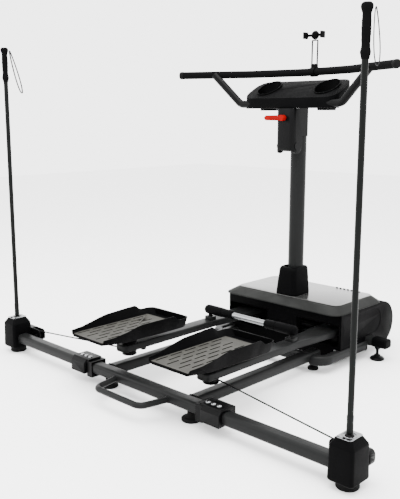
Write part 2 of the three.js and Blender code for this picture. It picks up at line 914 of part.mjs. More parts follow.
// Foot arms: hollow beams that flare towards their upright shafts
const armTopZ = armBottomZ + armHeight;

function armOutline(inset, frontY) {
  const [half, flare, tail] = [armWidth / 2 - inset, flareHalf - inset, armTailRadius - inset];
  const shape = new THREE.Shape();
  shape.moveTo(armX - half, frontY);
  shape.lineTo(armX + half, frontY);
  shape.lineTo(armX + half, flareStartY);
  shape.lineTo(armX + flare, flareEndY);
  shape.lineTo(armX + tail, pivotY);
  shape.absarc(armX, pivotY, tail, 0, Math.PI);
  shape.lineTo(armX - flare, flareEndY);
  shape.lineTo(armX - half, flareStartY);
  shape.closePath();
  return shape;
}

const bushBottomZ = armBottomZ - bushRise;
const bushTopZ = armTopZ + bushRise;
const basePlateZ = sideTubeTopZ + gap;
const basePlateTopZ = basePlateZ + basePlateThickness;

function addArm({ name, group }) {
  const outer = prism(armOutline(0, armFrontY), "z", armBottomZ, armTopZ);
  const inner = prism(armOutline(armWall, armFrontY - overrun), "z", armBottomZ + armWall, armTopZ - armWall);
  const bush = rod(bushRadius, "z", bushBottomZ, bushTopZ, wheelSides).translate(armX, pivotY, 0);
  const hole = bore(shaftRadius, "z", 0, 2 * armTopZ, wheelSides).translate(armX, pivotY, 0);
  const fittings = joined(bush, swivelStub(), ...tieBracket());
  place(name + "_arm", cut(cut(solid(outer), inner).add(fittings), hole), framePaint, group);
}

// Swivel stub: a grooved boss under the arm's end, with the pin that the pedal turns on
function swivelStub() {
  const profile = [
    [0, stubBottomZ],
    [stubRadius, stubBottomZ],
    [stubRadius, stubBottomZ + stubFlange],
    [stubGrooveRadius, stubBottomZ + stubFlange],
    [stubGrooveRadius, armBottomZ - stubFlange],
    [stubRadius, armBottomZ - stubFlange],
    [stubRadius, armBottomZ + armWall / 2],
    [swivelRadius, armBottomZ + armWall / 2],
    [swivelRadius, swivelTopZ],
    [0, swivelTopZ],
  ];
  return turning(profile, "z", wheelSides).translate(armX, stubY, 0);
}

// Bracket and pin that take one end of the tie rod
function tieBracket() {
  const [halfX, halfY] = [tieBracketWidth / 2, tieBracketDepth / 2];
  const [from, to] = [armTopZ - armWall / 2, armTopZ + tieBracketRise];
  const foot = block(armX - halfX, armX + halfX, tieY - halfY, tieY + halfY, from, to);
  return [foot, rod(tiePinRadius, "z", from, tieZ, rodSides).translate(armX, tieY, 0)];
}

// Tie rod: a bright rod with a sleeve at each end
function addTieSleeve({ name, group }) {
  const from = tieRodHalf - tubeWall;
  const profile = [[0, from], [sleeveRadius - tubeWall, from], [sleeveRadius, from + tubeWall]];
  for (let k = 0; k <= cornerSteps; k += 1) {
    const angle = (Math.PI / 2) * (k / cornerSteps);
    const along = sleeveEndX - sleeveRadius + sleeveRadius * Math.sin(angle);
    profile.push([sleeveRadius * Math.cos(angle), along]);
  }
  const sleeve = turning(profile, "x", wheelSides).translate(0, tieY, tieZ);
  const seat = bore(tieRodRadius, "x", 0, tieRodHalf + gap, rodSides).translate(0, tieY, tieZ);
  const hole = bore(tiePinRadius, "z", 0, tieZ + gap, rodSides).translate(armX, tieY, 0);
  place(name + "_tie_sleeve", cut(solid(sleeve), seat, hole), blackPlastic, group);
}

function addTieRod() {
  const bar = rod(tieRodRadius, "x", -tieRodHalf, tieRodHalf, rodSides);
  place("tie_rod", bar.translate(0, tieY, tieZ), chrome);
}

// Pedals: a shell with flared side walls, a keel down to the swivel, and a slotted tread
function pedalRing(y, topZ, half, bottomZ) {
  const under = half * pedalUnderShare;
  return [
    [armX - under, y, bottomZ],
    [armX + under, y, bottomZ],
    [armX + half, y, topZ],
    [armX - half, y, topZ],
  ];
}

function addPedal({ name, group }) {
  const midHalf = (pedalHeelHalf + pedalToeHalf) / 2;
  const shell = loft([
    pedalRing(pedalHeelY, pedalHeelZ, pedalHeelHalf, pedalHeelBottomZ),
    pedalRing(pedalRiseY, pedalRiseZ, midHalf, pedalBottomZ),
    pedalRing(pedalCrestFrontY, pedalCrestZ, midHalf, pedalBottomZ),
    pedalRing(pedalCrestRearY, pedalCrestZ, pedalToeHalf, pedalBottomZ),
    pedalRing(pedalStepY, pedalToeZ, pedalToeHalf, pedalBottomZ),
    pedalRing(pedalToeY - pedalToeCorner, pedalToeZ, pedalToeHalf, pedalBottomZ),
    pedalRing(pedalToeY, pedalToeZ, pedalToeHalf - pedalToeNarrow, pedalBottomZ),
  ]);
  const floorHalf = treadHalf + gap;
  const innerToeY = pedalToeY - pedalWall;
  const stations = [
    [pedalHeelY - overrun, 0],
    [innerToeY - pedalToeCorner, 0],
    [innerToeY, pedalToeNarrow],
  ];
  const hollow = stations.map(([y, inset]) => [
    [armX - floorHalf + inset, y, pedalFloorZ],
    [armX + floorHalf - inset, y, pedalFloorZ],
    [armX + pedalToeHalf - pedalWall - inset, y, pedalCrestZ + overrun],
    [armX - pedalToeHalf + pedalWall + inset, y, pedalCrestZ + overrun],
  ]);
  const foot = pedalBottomZ + pedalWall;
  const keel = loft([
    [
      [armX - keelFootHalf, keelFootFrontY, keelFootZ],
      [armX + keelFootHalf, keelFootFrontY, keelFootZ],
      [armX + keelFootHalf, keelFootRearY, keelFootZ],
      [armX - keelFootHalf, keelFootRearY, keelFootZ],
    ],
    [
      [armX - keelHalf, keelFrontY, foot],
      [armX + keelHalf, keelFrontY, foot],
      [armX + keelHalf, keelRearY, foot],
      [armX - keelHalf, keelRearY, foot],
    ],
  ]);
  const boss = rod(stubRadius, "z", armTopZ + gap, foot, wheelSides).translate(armX, stubY, 0);
  const hole = bore(swivelRadius, "z", 0, swivelTopZ + gap, wheelSides).translate(armX, stubY, 0);
  const body = joined(shell, keel, boss);
  place(name + "_pedal", cut(body, loft(hollow), hole), blackPlastic, group);
  addTread(name, group);
}

// Tread: rows of slots, every other row set half a pitch along
function addTread(name, group) {
  const from = pedalHeelY + pedalWall;
  const to = pedalToeY - pedalWall - treadToe;
  const [bottom, top] = [pedalFloorZ + gap, pedalFloorZ + gap + treadThickness];
  const pitch = treadSlotLength + treadSlotGap;
  const slots = [];
  for (let row = 0; row < treadRows; row += 1) {
    const x = armX - treadHalf + (2 * treadHalf * (row + 0.5)) / treadRows;
    const start = from + treadSlotGap + (row % 2) * (pitch / 2);
    for (let y = start; y + treadSlotLength < to - treadSlotGap / 2; y += pitch) {
      const [x0, x1] = [x - treadSlotWidth / 2, x + treadSlotWidth / 2];
      slots.push(block(x0, x1, y, y + treadSlotLength, bottom - overrun, top + overrun));
    }
  }
  const plate = solid(block(armX - treadHalf, armX + treadHalf, from, to, bottom, top));
  place(name + "_tread", cut(plate, ...slots), treadGrey, group);
}

// Housing: body with a drum-shaped rear, cover with a bevelled rim, and a bright top panel
function housingProfile(inset, frontBottomZ, deckZ) {
  const points = [
    [housingFrontY + inset, frontBottomZ],
    [housingFrontY + inset, deckZ],
    [housingDrumY - inset, deckZ],
  ];
  const [wide, high] = [housingRearY - housingDrumY - inset, housingDeckZ - housingDrumZ - inset];
  for (let k = 0; k <= housingDrumSteps; k += 1) {
    const degrees = 90 - ((90 + housingTailDegrees) * k) / housingDrumSteps;
    const angle = THREE.MathUtils.degToRad(degrees);
    points.push([housingDrumY + wide * Math.cos(angle), housingDrumZ + high * Math.sin(angle)]);
  }
  return points;
}

const housingBottomZ = sideTubeTopZ + gap;

function addHousingBody() {
  const outline = housingProfile(0, housingBottomZ, housingDeckZ);
  const [, tailZ] = outline[outline.length - 1];
  outline.splice(2, 1);
  outline.push([housingTailFrontY, tailZ], [housingTailFrontY, housingBottomZ]);
  const hollow = housingProfile(housingWall, 0, housingDeckZ + overrun);
  const [tailY] = hollow[hollow.length - 1];
  hollow.push([tailY, 0]);
  const outer = prism(polygon(outline), "x", -housingHalf, housingHalf);
  const inner = prism(polygon(hollow), "x", -housingHalf + housingWall, housingHalf - housingWall);
  const tubeNotch = block(
    -housingHalf - overrun,
    housingHalf + overrun,
    rearTubeFrontY - gap,
    rearTubeFrontY + tubeWidth + gap,
    0,
    rearTubeTopZ + gap,
  );
  const mouths = [-1, 1].map((sign) => {
    const [x0, x1] = sign < 0 ? [-openingOuterX, -openingInnerX] : [openingInnerX, openingOuterX];
    const [y0, y1] = [housingFrontY - overrun, housingFrontY + housingWall + overrun];
    return block(x0, x1, y0, y1, openingSillZ, openingTopZ);
  });
  const apronHalf = sideTubeX - sideTubeWidth / 2 - overrun;
  const apron = block(
    -apronHalf,
    apronHalf,
    housingFrontY,
    housingFrontY + housingWall,
    apronBottomZ,
    housingBottomZ + housingWall,
  );
  const recessHeight = recessTopZ - recessBottomZ;
  const recess = roundedRectangle(
    recessRearY - recessFrontY,
    recessHeight,
    recessHeight / 2 - recessDepth,
    (recessFrontY + recessRearY) / 2,
    (recessTopZ + recessBottomZ) / 2,
  );
  const recesses = [-1, 1].map((sign) => {
    const face = sign * housingHalf;
    return prism(recess, "x", face - recessDepth, face + recessDepth);
  });
  const body = cut(solid(outer), inner, tubeNotch, ...mouths, ...recesses);
  place("housing_body", body.add(solid(apron)), blackPlastic);
}

const coverBottomZ = housingDeckZ + gap;
const coverTopZ = coverBottomZ + coverSkirt + coverRise;

function ringBetween(half, frontY, rearY, corner, z) {
  return levelRing(half, (rearY - frontY) / 2, corner, z, 0, (frontY + rearY) / 2);
}

function addHousingCover() {
  const outer = loft([
    ringBetween(coverHalf, coverFrontY, coverRearY, coverCorner, coverBottomZ),
    ringBetween(coverHalf, coverFrontY, coverRearY, coverCorner, coverBottomZ + coverSkirt),
    ringBetween(coverTopHalf, coverTopFrontY, coverTopRearY, coverCorner, coverTopZ),
  ]);
  const inset = coverWall + coverWall;
  const [lowHalf, lowRear] = [coverHalf - 2 * inset, coverRearY - 2 * inset];
  const [topHalf, topFront, topRear] = [coverTopHalf - inset, coverTopFrontY + inset, coverTopRearY - inset];
  const inner = loft([
    ringBetween(lowHalf, housingFrontY + inset, lowRear, coverCorner, coverBottomZ - overrun),
    ringBetween(topHalf, topFront, topRear, coverCorner, coverTopZ - coverWall),
  ]);
  const postBore = bore(postRadius, "z", 0, 2 * coverTopZ, wheelSides).translate(0, postY, 0);
  place("housing_cover", cut(solid(outer), inner, postBore), blackPlastic);
  const from = coverTopZ + gap;
  const length = coverTopRearY - coverTopFrontY - 2 * panelInset;
  const middle = (coverTopRearY + coverTopFrontY) / 2;
  const panel = roundedRectangle(2 * (coverTopHalf - panelInset), length, panelCorner, 0, middle);
  panel.holes.push(disc(postRadius + gap, wheelSides, 0, postY));
  place("top_panel", prism(panel, "z", from, from + panelThickness), silverPanel);
}

// Inner base plate with both arm shafts
function addBasePlate() {
  const half = housingHalf - housingWall - gap;
  const plate = block(-half, half, basePlateFrontY, basePlateRearY, basePlateZ, basePlateTopZ);
  const profile = [
    [0, basePlateTopZ - basePlateThickness / 2],
    [shaftShoulder, basePlateTopZ - basePlateThickness / 2],
    [shaftShoulder, bushBottomZ - gap],
    [shaftRadius, bushBottomZ - gap],
    [shaftRadius, bushTopZ + gap],
    [shaftCapRadius, bushTopZ + gap],
    [shaftCapRadius, bushTopZ + gap + shaftCap],
    [0, bushTopZ + gap + shaftCap],
  ];
  const shafts = [-armX, armX].map((x) => turning(profile, "z", wheelSides).translate(x, pivotY, 0));
  place("base_plate", joined(plate, ...shafts), blackSteel);
}

// Post with its flange, and the boot round its foot
function addPost() {
  const from = basePlateTopZ + gap;
  const inner = postRadius - postWall;
  const tube = prism(ring(postRadius, inner, wheelSides), "z", from, postTopZ);
  const flange = prism(ring(flangeRadius, inner, wheelSides), "z", from, from + flangeThickness);
  place("post", joined(tube, flange).translate([0, postY, 0]), framePaint);
}

function addBoot() {
  const from = coverTopZ + 2 * gap + panelThickness;
  const lower = from + bootHeight - bootCrown;
  const crownInset = bootTopInset + bootCrownInset;
  const bootRing = (inset, z) => {
    const frontY = bootFrontY + inset + bootLean * (inset / bootTopInset);
    return ringBetween(bootHalfX - inset, frontY, bootRearY - inset / 2, bootCorner, z);
  };
  const crown = bootRing(crownInset, from + bootHeight);
  const body = loft([bootRing(0, from), bootRing(bootTopInset, lower), crown]);
  const hole = bore(postRadius, "z", 0, 2 * lower, wheelSides).translate(0, postY, 0);
  place("post_boot", cut(solid(body), hole), blackPlastic);
}

// Neck: a fixed mount on the post, and the console's channel that turns on it
const trayBottomZ = supportZ + barRadius + gap;
const trayLipZ = supportZ - barRadius - gap - trayLip;
const trayBackBottomZ = trayBackTopZ - trayBackHeight;
const trayUnderSlope = (trayBackBottomZ - trayBottomZ) / (trayBackY - trayHeelY);
const trayUnderZ = (y) => trayBottomZ + (y - trayHeelY) * trayUnderSlope;

function addNeckMount() {
  const round = prism(disc(mountRadius, wheelSides, neckPivotY, neckPivotZ), "x", -mountHalf, mountHalf);
  const body = block(-mountHalf, mountHalf, mountFrontY, mountRearY, neckPivotZ, mountTopZ);
  const foot = block(-mountHalf, mountHalf, neckPivotY, mountRearY, mountFootZ, mountTopZ);
  const post = bore(postRadius, "z", 0, 2 * mountTopZ, wheelSides).translate(0, postY, 0);
  const mount = cut(joined(round, body, foot), post);
  const face = neckHalf + gap;
  const bolt = [
    [0, -face - pivotHead],
    [pivotHeadRadius, -face - pivotHead],
    [pivotHeadRadius, -face],
    [pivotBoltRadius, -face],
    [pivotBoltRadius, face],
    [pivotHeadRadius, face],
    [pivotHeadRadius, face + pivotHead],
    [0, face + pivotHead],
  ];
  const axis = turning(bolt, "x", wheelSides).translate(0, neckPivotY, neckPivotZ);
  place("neck_mount", mount.add(solid(axis)), blackSteel);
}

function addNeckChannel() {
  const topZ = trayLipZ - gap;
  const rearTopZ = trayUnderZ(neckRearY) - gap;
  const depth = neckRearY - neckFrontY;
  const [halfInside, depthInside] = [neckHalf - neckWall, depth - neckWall];
  const outline = roundedRectangle(2 * neckHalf, 2 * depth, neckCorner, 0, neckRearY);
  const hollow = roundedRectangle(2 * halfInside, 2 * depthInside, neckCorner - neckWall, 0, neckRearY);
  const plan = prism(outline, "z", 0, 2 * rearTopZ);
  const inside = prism(hollow, "z", -overrun, 2 * rearTopZ + overrun);
  const side = polygon([
    [neckFrontY - overrun, neckPivotZ],
    [neckPivotY + tongueRadius, neckPivotZ],
    [neckPivotY + tongueRadius, neckStepZ],
    [neckRearY, neckStepZ],
    [neckRearY, rearTopZ],
    [trayHeelY + gap, trayUnderZ(trayHeelY) - gap],
    [trayHeelY + gap, topZ],
    [neckFrontY - overrun, topZ],
  ]);
  const wide = 2 * neckHalf;
  const profile = joined(
    prism(side, "x", -wide, wide),
    rod(tongueRadius, "x", -wide, wide, wheelSides).translate(0, neckPivotY, neckPivotZ),
  );
  const pivotBore = bore(pivotBoltRadius, "x", -wide, wide, wheelSides);
  const leverBore = bore(leverScrewRadius, "y", 0, neckPivotY, wheelSides).translate(0, 0, leverZ);
  const channel = solid(plan).intersect(profile).subtract(solid(inside));
  const bores = [pivotBore.translate(0, neckPivotY, neckPivotZ), leverBore];
  place("neck_channel", cut(channel, ...bores), blackSteel);
}

function addLockLever() {
  const washerRear = neckFrontY - gap;
  const washerFront = washerRear - leverWasher;
  const tip = mountFrontY - gap;
  const front = washerFront - leverHubLength;
  const turned = [
    [0, front],
    [leverHubRadius, front],
    [leverHubRadius, washerFront],
    [leverWasherRadius, washerFront],
    [leverWasherRadius, washerRear],
    [leverScrewRadius, washerRear],
    [leverScrewRadius, tip],
    [0, tip],
  ];
  const hub = turning(turned, "y", wheelSides).translate(0, 0, leverZ);
  const rootHalf = leverHubRadius - leverRootInset;
  const outline = polygon([
    [0, leverZ - rootHalf],
    [0, leverZ + rootHalf],
    [-leverArm + leverTipHalf, leverZ + leverTipHalf],
    [-leverArm, leverZ],
    [-leverArm + leverTipHalf, leverZ - leverTipHalf],
  ]);
  const rear = washerFront - (leverHubLength - leverArmThickness) / 2;
  place("lock_lever", joined(hub, prism(outline, "y", rear - leverArmThickness, rear)), redPlastic);
}

// Tray: a sloping slab that lies on the support tube and the neck, with two moulded cups
function addTray() {
  const frontTopZ = trayBottomZ + trayFrontHeight;
  const section = polygon([
    [trayFrontY, trayLipZ],
    [trayHeelY, trayLipZ],
    [trayHeelY, trayBottomZ],
    [trayBackY, trayBackBottomZ],
    [trayBackY, trayBackTopZ],
    [trayFrontY, frontTopZ],
  ]);
  const slope = (trayBackTopZ - frontTopZ) / (trayBackY - trayFrontY);
  const rimZ = (y) => frontTopZ + (y - trayFrontY) * slope + cupRim;
  const middle = (trayFrontY + trayBackY) / 2;
  const plan = roundedRectangle(2 * trayHalf, trayBackY - trayFrontY, trayCorner, 0, middle);
  const slab = solid(prism(section, "x", -trayHalf, trayHalf)).intersect(
    solid(prism(plan, "z", 0, 2 * trayBackTopZ)),
  );
  const reach = 2 * cupRimRadius;
  const below = prism(
    polygon([
      [cupY - reach, 0],
      [cupY + reach, 0],
      [cupY + reach, rimZ(cupY + reach)],
      [cupY - reach, rimZ(cupY - reach)],
    ]),
    "x",
    -trayHalf,
    trayHalf,
  );
  const top = trayBackTopZ + overrun;
  let tray = slab;
  [-cupX, cupX].forEach((x) => {
    const outer = [
      [0, cupFloorZ],
      [cupFloorRadius + cupWall, cupFloorZ],
      [cupRimRadius + cupWall, cupFlareZ],
      [cupRimRadius + cupWall, top],
      [0, top],
    ];
    tray = tray.add(solid(turning(outer, "z", wheelSides).translate(x, cupY, 0)).intersect(solid(below)));
  });
  [-cupX, cupX].forEach((x) => {
    const inner = [
      [0, cupFloorZ + cupWall],
      [cupFloorRadius, cupFloorZ + cupWall],
      [cupRimRadius, cupFlareZ],
      [cupRimRadius, top + overrun],
      [0, top + overrun],
    ];
    tray = tray.subtract(solid(turning(inner, "z", wheelSides).translate(x, cupY, 0)));
  });
  const tunnel = bore(barRadius, "x", -2 * trayHalf, 2 * trayHalf, wheelSides);
  place("tray", cut(tray, tunnel.translate(0, supportY, supportZ)), blackPlastic);
}

// Bowed handlebar with closed ends, carried by a bent support tube
const barSide = barPoints.map(([x, y]) => [x, y, barZ]);
const barRoute = [...barSide.slice(1).reverse().map(([x, y, z]) => [-x, y, z]), ...barSide];

function barEnd(sign) {
  const [[x0, y0], [x1, y1]] = barPoints.slice(-2);
  const profile = [
    [0, -barPlug],
    [barRadius - barWall / 2, -barPlug],
    [barRadius - barWall / 2, -barWall / 2],
    [barRadius + capLip, -barWall / 2],
    [barRadius + capLip, barPlug / 2],
    [barRadius - barWall, barPlug],
    [0, barPlug],
  ];
  const plug = turning(profile, "x", rodSides).rotateZ(Math.atan2(y1 - y0, x1 - x0));
  return plug.translate(x1, y1, barZ).scale(sign, 1, 1);
}

function addHandlebar() {
  const bar = joined(
    bentTube(barRoute, barBend, ring(barRadius, barRadius - barWall, rodSides)),
    barEnd(-1),
    barEnd(1),
  );
  const wireHole = rod(wireHoleRadius, "z", 0, barZ, rodSides).translate(...barPoints[0], 0);
  place("handlebar", cut(bar, wireHole), foam);
  const clear = solid(bentTube(barRoute, barBend, disc(barRadius + gap, rodSides)));
  const corners = [
    [-supportEndX, supportEndY, barZ],
    [-supportTurnX, supportY, supportZ],
    [supportTurnX, supportY, supportZ],
    [supportEndX, supportEndY, barZ],
  ];
  const tube = solid(bentTube(corners, supportBend, ring(barRadius, barRadius - barWall, rodSides)));
  const pieces = tube.subtract(clear).decompose();
  place("handlebar_support", pieces.sort((a, b) => b.volume() - a.volume())[0], framePaint);
}

// Phone holder: clip on the handlebar, slotted stand, round hub and a sliding jaw
function addPhoneHolder() {
  const [[x0, y0], [x1, y1]] = barPoints;
  const along = Math.atan2(y1 - y0, x1 - x0);
  const y = y0 + (phoneX - x0) * Math.tan(along);
  const outer = barRadius + gap + clipWall;
  const topZ = outer + clipRise / 2;
  const body = joined(
    rod(outer, "x", -clipHalf, clipHalf, wheelSides),
    block(-clipHalf, clipHalf, -clipHalf / 2, clipHalf / 2, 0, topZ),
  );
  const clip = surfaceOf(cut(body, rod(barRadius + gap, "x", -2 * clipHalf, 2 * clipHalf, rodSides)));
  const from = barZ + topZ - standBar / 2;
  const plate = roundedRectangle(2 * standHalf, standHeight, standBar, phoneX, from + standHeight / 2);
  const slot = [2 * (standHalf - standBar), standHeight - 2 * standBar];
  plate.holes.push(roundedRectangle(...slot, standBar / 2, phoneX, from + standHeight / 2));
  const upright = prism(plate, "y", y - standThickness / 2, y + standThickness / 2);
  place("phone_stand", joined(clip.rotateZ(along).translate(phoneX, y, barZ), upright), blackPlastic);
  const hubZ = from + standHeight + gap + hubRadius;
  const hub = new THREE.SphereGeometry(hubRadius, hubSides, hubSides / 2);
  hub.scale(1, hubDepthShare, 1).translate(phoneX, y, hubZ);
  const depth = [y - jawPadReach, y + jawDepth];
  const reach = jawLength - jawPad;
  const [low, high, near, far] = [hubZ - jawHalf, hubZ + jawHalf, y - jawDepth, y + jawDepth];
  const arm = block(phoneX - reach - gap, phoneX - hubRadius / 2, near, far, low, high);
  const pad = block(phoneX - jawLength, phoneX - reach, ...depth, hubZ - jawPadHalf, hubZ + jawPadHalf);
  const right = phoneX + hubRadius + overrun;
  const tunnel = block(phoneX - jawTail - gap, right, near - gap, far + gap, low - gap, high + gap);
  place("phone_hub", cut(joined(hub, arm, pad), tunnel), blackPlastic);
  const slide = block(phoneX - jawTail, phoneX + reach + gap, near, far, low, high);
  const jaw = block(phoneX + reach, phoneX + jawLength, ...depth, hubZ - jawPadHalf, hubZ + jawPadHalf);
  place("phone_jaw", joined(slide, jaw), blackPlastic);
}

// Build order
addCrossTube();
addRearFrame();
addPullHandle();
addTieRod();
addHousingBody();
addHousingCover();
addBasePlate();
addPost();
addBoot();
addNeckMount();
addNeckChannel();
addLockLever();
addTray();
addHandlebar();
addPhoneHolder();
halves.forEach((half, i) => {
  addRail(half);
  addFeet(half);
  addLeveller(half);
  addHingeBlock(half);
  addCollar(half);
  addOutriggerTube(half);
  addEndBox(half);
  addPulley(half);
  addCable(half);
  addPole(half, i);
  addArm(half);
  addTieSleeve(half);
  addPedal(half);
});

export default whole;
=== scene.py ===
"""Looks of the ski simulator: finishes, rounded edges, moulded shells, grips, straps, cables and the stage."""

import json
import math

import bmesh
import bpy
import numpy as np
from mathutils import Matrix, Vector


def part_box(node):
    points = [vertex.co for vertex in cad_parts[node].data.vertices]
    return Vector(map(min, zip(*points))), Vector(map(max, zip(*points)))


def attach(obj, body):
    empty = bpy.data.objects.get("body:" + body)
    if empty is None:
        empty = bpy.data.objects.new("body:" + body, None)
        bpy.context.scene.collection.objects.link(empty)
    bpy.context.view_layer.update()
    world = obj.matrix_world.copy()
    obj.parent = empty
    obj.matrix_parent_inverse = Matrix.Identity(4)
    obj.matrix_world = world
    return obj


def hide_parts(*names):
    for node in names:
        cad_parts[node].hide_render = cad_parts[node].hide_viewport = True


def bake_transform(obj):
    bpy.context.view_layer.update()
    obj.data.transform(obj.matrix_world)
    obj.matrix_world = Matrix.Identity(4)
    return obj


bl_info = {
    "name": "Ski simulator looks",
    "version": (1, 0, 0),
    "blender": (4, 5, 0),
    "location": "View3D > Sidebar > Ski Simulator",
    "description": "Builds the visible pieces of a home ski simulator round its packed frame",
    "category": "Object",
}

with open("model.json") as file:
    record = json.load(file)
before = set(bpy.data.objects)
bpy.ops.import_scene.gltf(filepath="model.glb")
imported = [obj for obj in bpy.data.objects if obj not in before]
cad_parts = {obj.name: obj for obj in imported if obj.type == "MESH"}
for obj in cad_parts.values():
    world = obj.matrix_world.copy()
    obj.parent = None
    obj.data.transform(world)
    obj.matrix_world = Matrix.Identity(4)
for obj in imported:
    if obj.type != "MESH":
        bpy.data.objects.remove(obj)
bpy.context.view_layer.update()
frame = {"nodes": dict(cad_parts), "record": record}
BODY_OF = {node: body for body, nodes in frame["record"]["behaviour"]["bodies"].items() for node in nodes}
SIDES = {"left": -1.0, "right": 1.0}
ALONG_X, ALONG_Y, UP = (1.0, 0.0, 0.0), (0.0, 1.0, 0.0), (0.0, 0.0, 1.0)


def box(node):
    """Lowest and highest corners of a node, its centre and half its size."""
    low, high = (np.array(corner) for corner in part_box(node))
    return low, high, (low + high) / 2, (high - low) / 2


def middle(node):
    """Centre of a node's box."""
    return box(node)[2]


# Places along the simulator, counted from the cross tube's axis
AXIS_Y = float(middle("cross_tube")[1])
STUB_Y = AXIS_Y + 0.108
TIE_Y = AXIS_Y + 0.56
HOUSING_FRONT_Y = AXIS_Y + 0.775
ARM_PIVOT_Y = AXIS_Y + 0.87


# Shader maths


def maths(operation, swapped=False):
    """An arithmetic method for Wire that adds one Math node."""

    def work(self, other):
        values = (other, self) if swapped else (self, other)
        return self.finish.node("ShaderNodeMath", {"operation": operation}, dict(enumerate(values)))

    return work


class Wire:
    """One output socket. Arithmetic on it adds Math nodes."""

    def __init__(self, finish, socket):
        self.finish = finish
        self.socket = socket

    __add__ = __radd__ = maths("ADD")
    __mul__ = __rmul__ = maths("MULTIPLY")
    __rsub__ = maths("SUBTRACT", swapped=True)
    __gt__ = maths("GREATER_THAN")


class Finish:
    """A node material: one Principled shader and whatever feeds it."""

    def __init__(self, name, **shader_values):
        self.material = bpy.data.materials.new(name)
        self.material.use_nodes = True
        self.nodes = self.material.node_tree.nodes
        self.links = self.material.node_tree.links
        self.nodes.clear()
        self.shader = self.nodes.new("ShaderNodeBsdfPrincipled")
        out = self.nodes.new("ShaderNodeOutputMaterial")
        self.links.new(self.shader.outputs["BSDF"], out.inputs["Surface"])
        for socket, value in shader_values.items():
            self.set(socket.replace("_", " "), value)

    def set(self, socket, value):
        """Feeds one of the shader's sockets with a wire, a number or a colour."""
        self._feed(self.shader.inputs[socket], value)

    def _feed(self, socket, value):
        if isinstance(value, Wire):
            self.links.new(value.socket, socket)
        elif socket.type == "RGBA" and len(value) == 3:
            socket.default_value = (*value, 1.0)
        else:
            socket.default_value = value

    def node(self, kind, settings=None, inputs=None, outlet=0):
        """Adds a node, sets it up, feeds its sockets by name or number, and gives one of its outputs."""
        made = self.nodes.new(kind)
        for key, value in (settings or {}).items():
            setattr(made, key, value)
        for key, value in (inputs or {}).items():
            self._feed(made.inputs[key], value)
        return Wire(self, made.outputs[outlet])

    def place(self, stretch=(1.0, 1.0, 1.0)):
        """Object coordinates, stretched."""
        where = self.node("ShaderNodeTexCoord", outlet="Object")
        return self.node("ShaderNodeMapping", {}, {"Vector": where, "Scale": stretch})

    def part(self, vector, outlet=0):
        """One coordinate of a vector."""
        return self.node("ShaderNodeSeparateXYZ", {}, {0: vector}, outlet)

    def noise(self, per_metre, detail=4.0, rough=0.55, stretch=(1.0, 1.0, 1.0)):
        """Cloudy noise with so many blobs to the metre."""
        inputs = {"Vector": self.place(stretch), "Scale": per_metre, "Detail": detail, "Roughness": rough}
        return self.node("ShaderNodeTexNoise", {}, inputs)

    def cells(self, per_metre):
        """Distance to the nearest of many scattered points, for a moulded grain."""
        return self.node("ShaderNodeTexVoronoi", {}, {"Vector": self.place(), "Scale": per_metre})

    def ramp(self, fac, black_at, white_at):
        """A grey ramp over a value, black up to one place and white from another."""
        made = self.node("ShaderNodeValToRGB", {}, {"Fac": fac})
        stops = made.socket.node.color_ramp.elements
        for stop, place, grey in zip(stops, (black_at, white_at), (0.0, 1.0)):
            stop.position = place
            stop.color = (grey, grey, grey, 1.0)
        return made

    def wave(self, value, per_unit):
        """Sine ribs from 0 to 1 along a value."""
        return self.node("ShaderNodeMath", {"operation": "SINE"}, {0: value * per_unit}) * 0.5 + 0.5

    def blend(self, fac, dark, light):
        """A colour between two others."""
        return self.node("ShaderNodeMix", {"data_type": "RGBA"}, {0: fac, 6: dark, 7: light}, outlet=2)

    def coat(self, colour, shades, fac, roughness, height=None, depth=0.0, strength=1.0):
        """A colour between two shades of one, a roughness, and a bump so many metres deep. Gives the material."""
        self.set("Base Color", self.blend(fac, *(shade(colour, factor) for factor in shades)))
        return self.skin(roughness, height, depth, strength)

    def skin(self, roughness, height, depth, strength):
        """Roughness, and a normal tilted by a height map whose full range is that many metres deep."""
        self.set("Roughness", roughness)
        if height is not None:
            inputs = {"Height": height, "Distance": depth, "Strength": strength}
            self.set("Normal", self.node("ShaderNodeBump", {}, inputs))
        return self.material


def shade(colour, factor):
    """A colour times a number."""
    return tuple(min(1.0, channel * factor) for channel in colour)


def paint(name, colour, roughness):
    """Powder paint: a slight orange peel, faint dust on the colour, and scuffs that dull it."""
    made = Finish(name, Specular_IOR_Level=0.05)
    cloud = made.noise(7.0, 5.0)
    scuffs = made.ramp(made.noise(55.0, 8.0, 0.7, (1.0, 0.35, 1.0)), 0.52, 0.72)
    peel = made.noise(900.0, 2.0) * 0.6 + made.cells(1500.0) * 0.4
    dull = cloud * 0.12 + scuffs * 0.12 + (roughness - 0.09)
    return made.coat(colour, (0.8, 1.35), cloud * 0.7 + scuffs * 0.3, dull, peel, 0.00012, 0.5)


def moulded(name, colour, roughness, grain=1400.0, depth=0.0001):
    """Moulded plastic: a spark-eroded grain, with rubbed patches that are a little smoother."""
    made = Finish(name, Specular_IOR_Level=0.015)
    rubbed = made.ramp(made.noise(9.0, 6.0, 0.6), 0.42, 0.68)
    grit = made.cells(grain)
    height = grit * 0.7 + made.noise(grain * 0.6, 2.0) * 0.3
    dull = roughness + 0.06 - rubbed * 0.12
    return made.coat(colour, (0.75, 1.45), rubbed * 0.6 + grit * 0.4, dull, height, depth, 0.6)


